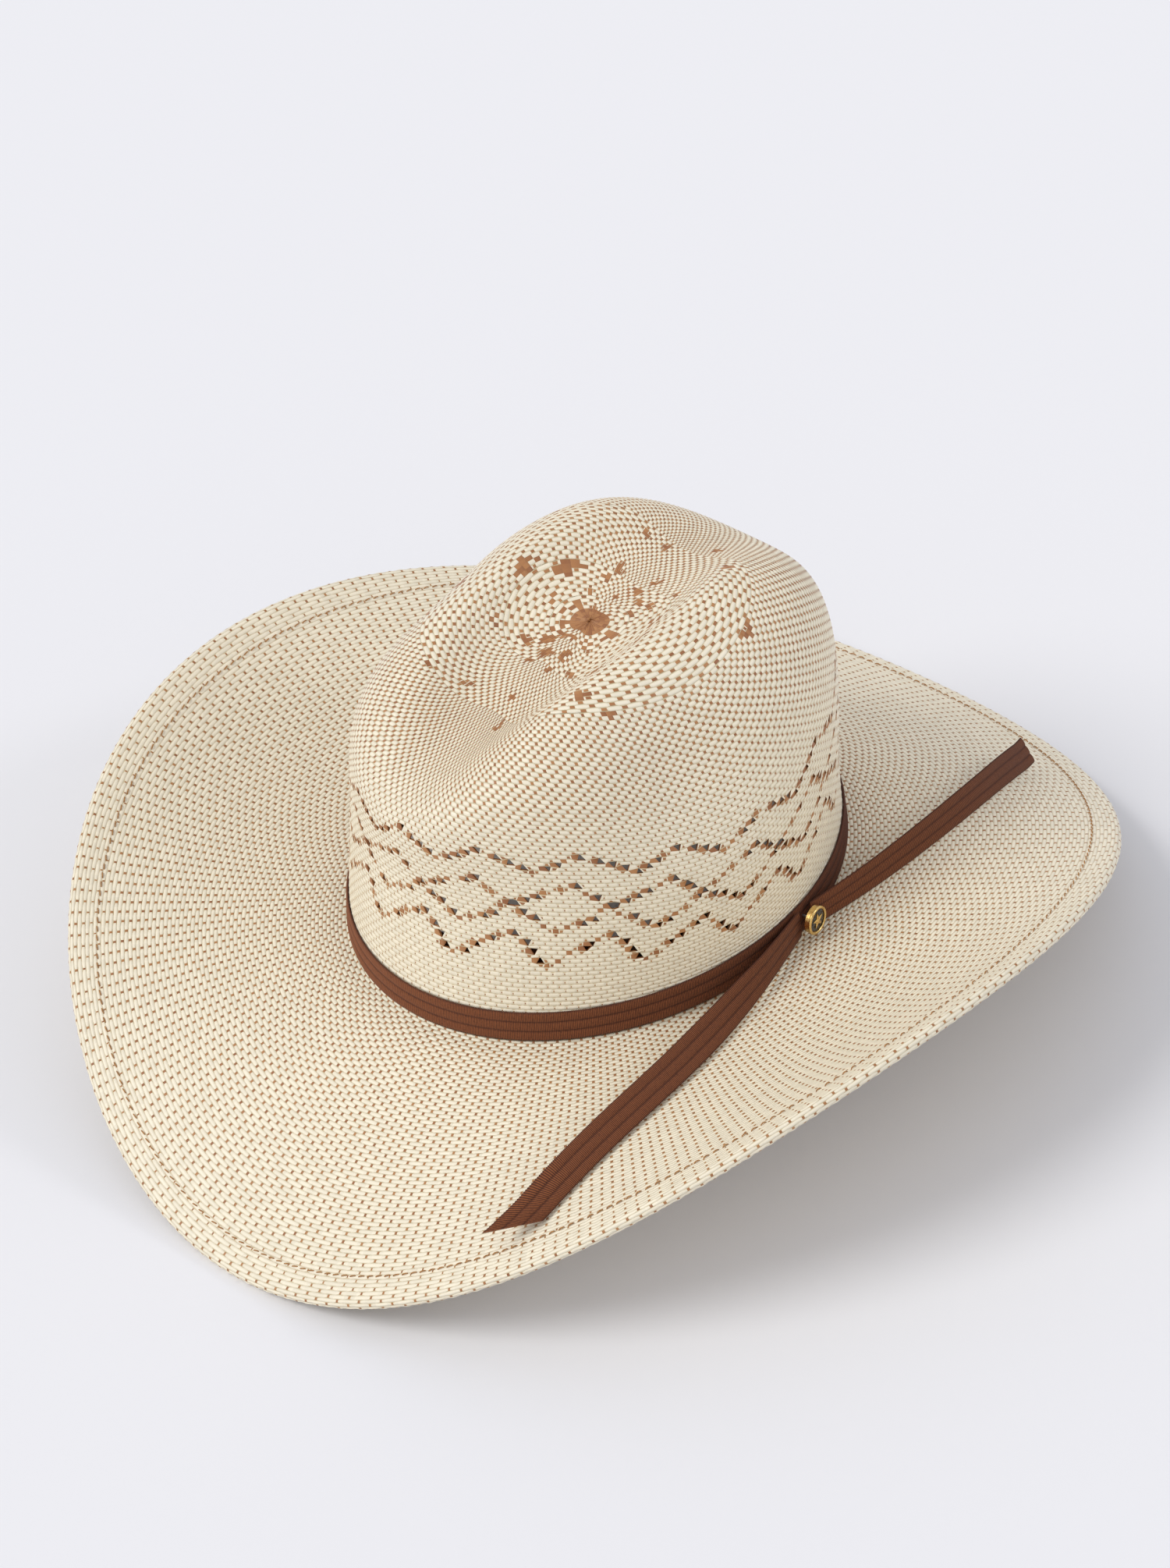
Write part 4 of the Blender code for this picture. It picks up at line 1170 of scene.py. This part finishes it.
@dataclass
class Sweatband:
    """Leather band with its stitches, reed and tape, and what lies behind it and on it."""

    shape: HatShape
    inset: float = 5.0 * MM
    lean: float = 1.5 * MM
    thick: float = 1.0 * MM
    low: float = 1.0 * MM
    height: float = 36.0 * MM
    columns: int = 384
    pitch: float = 3.4 * MM
    round_length: float = 580.0 * MM
    pad_half_angle: float = math.radians(42.0)
    pad_thick: float = 3.0 * MM
    patches: tuple[WallPatch, ...] = (
        WallPatch("seam_patch", "back_seam_patch", 180, 6, 4, 32, 4.1, 0.5, Trim.TAPE, "cloth"),
        WallPatch("blank_tag", "size_tag", 150, 3.5, 10, 46, 2.4, 0.4, Trim.PAPER, "paper"),
    )

    def sheet(self, name: str, phi: Array, heights: Array, outer: Array, inner: Array, trim: Trim,
              slot: str, node: str, closed: bool = False) -> bpy.types.Object:
        """Piece between two insets from the wall, over a grid of heights and angles."""
        def grid(inset: Array) -> Array:
            """Points of the grid at an inset."""
            return self.shape.wall(phi[None, :], heights[:, None], inset)

        piece = shell(name, grid(outer), grid(inner), None, closed, 60.0)
        return finish_piece(piece, trim.value.build(), slot, "hat", node)

    def build(self) -> None:
        """Make the leather, the stitches and the trimmings."""
        phi = np.arange(self.columns) * 2 * math.pi / self.columns
        share = np.array([0.0, 0.012, 0.035, 0.15, 0.3, 0.45, 0.6, 0.75, 0.88, 0.965, 0.99, 1.0])
        edge = 0.5 * self.thick * np.abs(2 * share - 1)[:, None] ** 60
        ripple = 0.12 * MM * np.sin(23 * phi)[None, :] * share[:, None]
        lean = self.inset + self.lean * share[:, None] ** 1.6 + ripple
        self.sheet("sweatband_leather", phi, self.low + self.height * share, lean + edge,
                   lean + self.thick - edge, Trim.LEATHER, "leather", "sweatband", True)
        self.stitches()
        for node, trim in (("sweatband_reed", Trim.REED), ("reed_tape", Trim.TAPE)):
            dress_node(node, trim)
        self.padding()
        for patch in self.patches:
            self.lay(patch)
        self.bow()

    def lay(self, patch: WallPatch) -> None:
        """Patch that is not quite flat, with thinned edges."""
        u = np.linspace(-1.0, 1.0, 25)[None, :]
        v = np.linspace(-1.0, 1.0, 9)[:, None]
        thin = patch.thick * MM * 0.35 * np.maximum(np.abs(u), np.abs(v)) ** 12
        wave = 0.12 * MM * np.sin(2.1 * u + 1.3 * v)
        phi = np.radians(patch.middle + patch.half_angle * u[0])
        heights = np.linspace(patch.low, patch.high, 9) * MM
        self.sheet(patch.name, phi, heights, patch.inset * MM + wave + thin,
                   (patch.inset + patch.thick) * MM + wave - thin, patch.trim, patch.slot, patch.node)

    def stitches(self) -> None:
        """Stitches along the foot of the leather."""
        count = round(self.round_length / self.pitch)
        phi = self.shape.strand_angle(np.arange(count) / count)
        after = self.shape.strand_angle((np.arange(count) + 0.6) / count)
        inset = self.inset + self.thick + 0.2 * MM
        starts, ends = (self.shape.wall(angle, self.low + 3 * MM, inset) for angle in (phi, after))
        row = stitch_row("band_stitches", starts, ends, -self.shape.wall_out(phi), 0.25 * MM, 0.3 * MM)
        finish_piece(row, Trim.THREAD.value.build(), "thread", "hat", "sweatband_stitching")

    def padding(self) -> None:
        """Forehead pad: a crowned cushion between the straw and the leather."""
        u = np.linspace(-1.0, 1.0, 65)[None, :]
        v = np.linspace(-1.0, 1.0, 17)[:, None]
        fullness = (1 - np.abs(u) ** 8) * (1 - np.abs(v) ** 4)
        full = self.pad_thick * (0.18 + 0.82 * fullness)
        middle = 1.3 * MM + self.pad_thick / 2
        pad = self.sheet("forehead_pad", u[0] * self.pad_half_angle, (18.5 + 14.5 * v[:, 0]) * MM,
                         middle - full / 2, middle + full / 2, Trim.FOAM, "foam", "front_padding")

    def bow(self) -> None:
        """Small flat bow at the back: two loops of satin ribbon and a knot round their middle."""
        satin = Trim.SATIN.value.build()
        turn = np.linspace(0.0, 2 * math.pi, 48, endpoint=False)
        spot = self.shape.wall(np.array(math.pi), 12 * MM, self.inset + self.thick + 1.4 * MM)
        v = np.linspace(-1.0, 1.0, 7)[:, None]
        for name, side in (("bow_left", 1.0), ("bow_right", -1.0), ("bow_knot", 0.0)):
            if side:
                x = (1.2 + 11.6 * (1 - np.cos(turn)) / 2) * MM
                depth = 0.75 * MM * np.sin(turn) * (0.5 + 0.5 * (x / x.max()))
                half = (1.5 + 3.6 * (x / x.max()) ** 0.8) * MM
            else:
                x = 1.9 * MM * np.cos(turn)
                depth = 1.35 * MM * np.sin(turn)
                half = np.full(len(turn), 1.9 * MM)
            facing = -1.0 if side < 0 else 1.0
            path = np.stack([facing * x, facing * depth, 0 * turn], -1)
            tangent = unit(np.roll(path, -1, axis=0) - np.roll(path, 1, axis=0))
            outward = np.cross(tangent, (0.0, 0.0, 1.0))
            puff = 0.25 * MM * (1 - v ** 2)[..., None]
            rise = v[..., None] * half[None, :, None] * np.array([0.0, 0.0, 1.0])
            middle = spot + path[None] + rise
            loop = shell(name, middle + outward[None] * (puff + 0.2 * MM),
                         middle + outward[None] * (puff - 0.2 * MM))
            finish_piece(loop, satin, "ribbon", "hat", "sweatband_bow")


# ---------------------------------------------------------------- light, floor and camera


@dataclass(frozen=True)
class Stage:
    """Plain pale floor, one soft key light from the upper left, a cooler one from behind."""

    floor_colour: str = "#EDEDF0"
    floor_size: float = 12.0
    sky_colour: str = "#F3F4F9"
    sky_strength: float = 0.72
    key: tuple[float, float, float] = (-0.75, -0.2, 0.88)   # to the camera's right, away and up
    rim: tuple[float, float, float] = (0.70, 0.51, 0.50)
    azimuth: float = math.radians(49.12)
    elevation: float = math.radians(39.24)
    roll: float = math.radians(-8.48)
    distance: float = 1.9138
    focal: float = 6392 / 1500
    aim: tuple[float, float, float] = (0.0, 0.002, 0.0522)
    shift: tuple[float, float] = (4.79 * MM, -31.06 * MM)

    def build(self) -> None:
        """Make floor, sky, lights and camera."""
        self.floor()
        world = bpy.data.worlds.new("studio")
        bpy.context.scene.world = world
        world.use_nodes = True
        sky = world.node_tree.nodes["Background"]
        sky.inputs["Color"].default_value = linear(self.sky_colour)
        sky.inputs["Strength"].default_value = self.sky_strength
        right = Vector((math.cos(self.azimuth), math.sin(self.azimuth), 0.0))
        away = Vector((-math.sin(self.azimuth), math.cos(self.azimuth), 0.0))
        key = right * self.key[0] + away * self.key[1] + Vector((0.0, 0.0, self.key[2]))
        self.sun("key_light", key, 1.3, 28.0, (1.0, 0.985, 0.955))
        self.sun("rim_light", Vector(self.rim), 0.35, 14.0, (0.93, 0.94, 1.0))
        self.camera(right)
        bpy.context.scene.view_settings.view_transform = "Standard"

    def floor(self) -> None:
        """Matt pale floor just under the hem."""
        bpy.ops.mesh.primitive_plane_add(size=self.floor_size, location=(0.0, 0.0, -0.4 * MM))
        floor = bpy.context.object
        floor.name = "floor"
        material, shader = new_material("floor_paint", 0.9, Specular_IOR_Level=0.1)
        shader.inputs["Base Color"].default_value = linear(self.floor_colour)
        floor.data.materials.append(material)

    def camera(self, right: Vector) -> None:
        """Camera that looks at the hat from its front left, rolled a little."""
        a, e = self.azimuth, self.elevation
        back = Vector((math.sin(a) * math.cos(e), -math.cos(a) * math.cos(e), math.sin(e)))
        up = back.cross(right)
        turned_right = right * math.cos(self.roll) + up * math.sin(self.roll)
        turned_up = -right * math.sin(self.roll) + up * math.cos(self.roll)
        place = (Vector(self.aim) + back * self.distance - turned_right * self.shift[0]
                 - turned_up * self.shift[1])
        camera = bpy.data.cameras.new("camera")
        camera.sensor_fit = "HORIZONTAL"
        camera.lens = self.focal * camera.sensor_width
        camera.clip_end = 50.0
        view = bpy.data.objects.new("camera", camera)
        axes = Matrix((turned_right, turned_up, back)).transposed().to_4x4()
        view.matrix_world = Matrix.Translation(place) @ axes
        bpy.context.scene.collection.objects.link(view)
        bpy.context.scene.camera = view

    def sun(self, name: str, toward: Vector, strength: float, angle: float,
            colour: tuple[float, float, float]) -> None:
        """A far light in the given direction; the angle in degrees sets its softness."""
        light = bpy.data.lights.new(name, "SUN")
        light.energy = strength
        light.angle = math.radians(angle)
        light.color = colour
        lamp = bpy.data.objects.new(name, light)
        lamp.rotation_mode = "QUATERNION"
        lamp.rotation_quaternion = toward.to_track_quat("Z", "Y")
        bpy.context.scene.collection.objects.link(lamp)


def main() -> None:
    """Build the hat over its frame."""
    logging.basicConfig(level=logging.INFO, format="%(message)s")
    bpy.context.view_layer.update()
    Stage().build()
    shape = HatShape()
    StrawBody(shape).build()
    Hatband(shape).build()
    Pin(shape).build()
    Stitching(shape).build()
    Sweatband(shape).build()
    dress_node("brim_wire", Trim.STEEL)
    dress_node("brim_wire_joiner", Trim.REED)


if __name__ == "__main__":
    main()
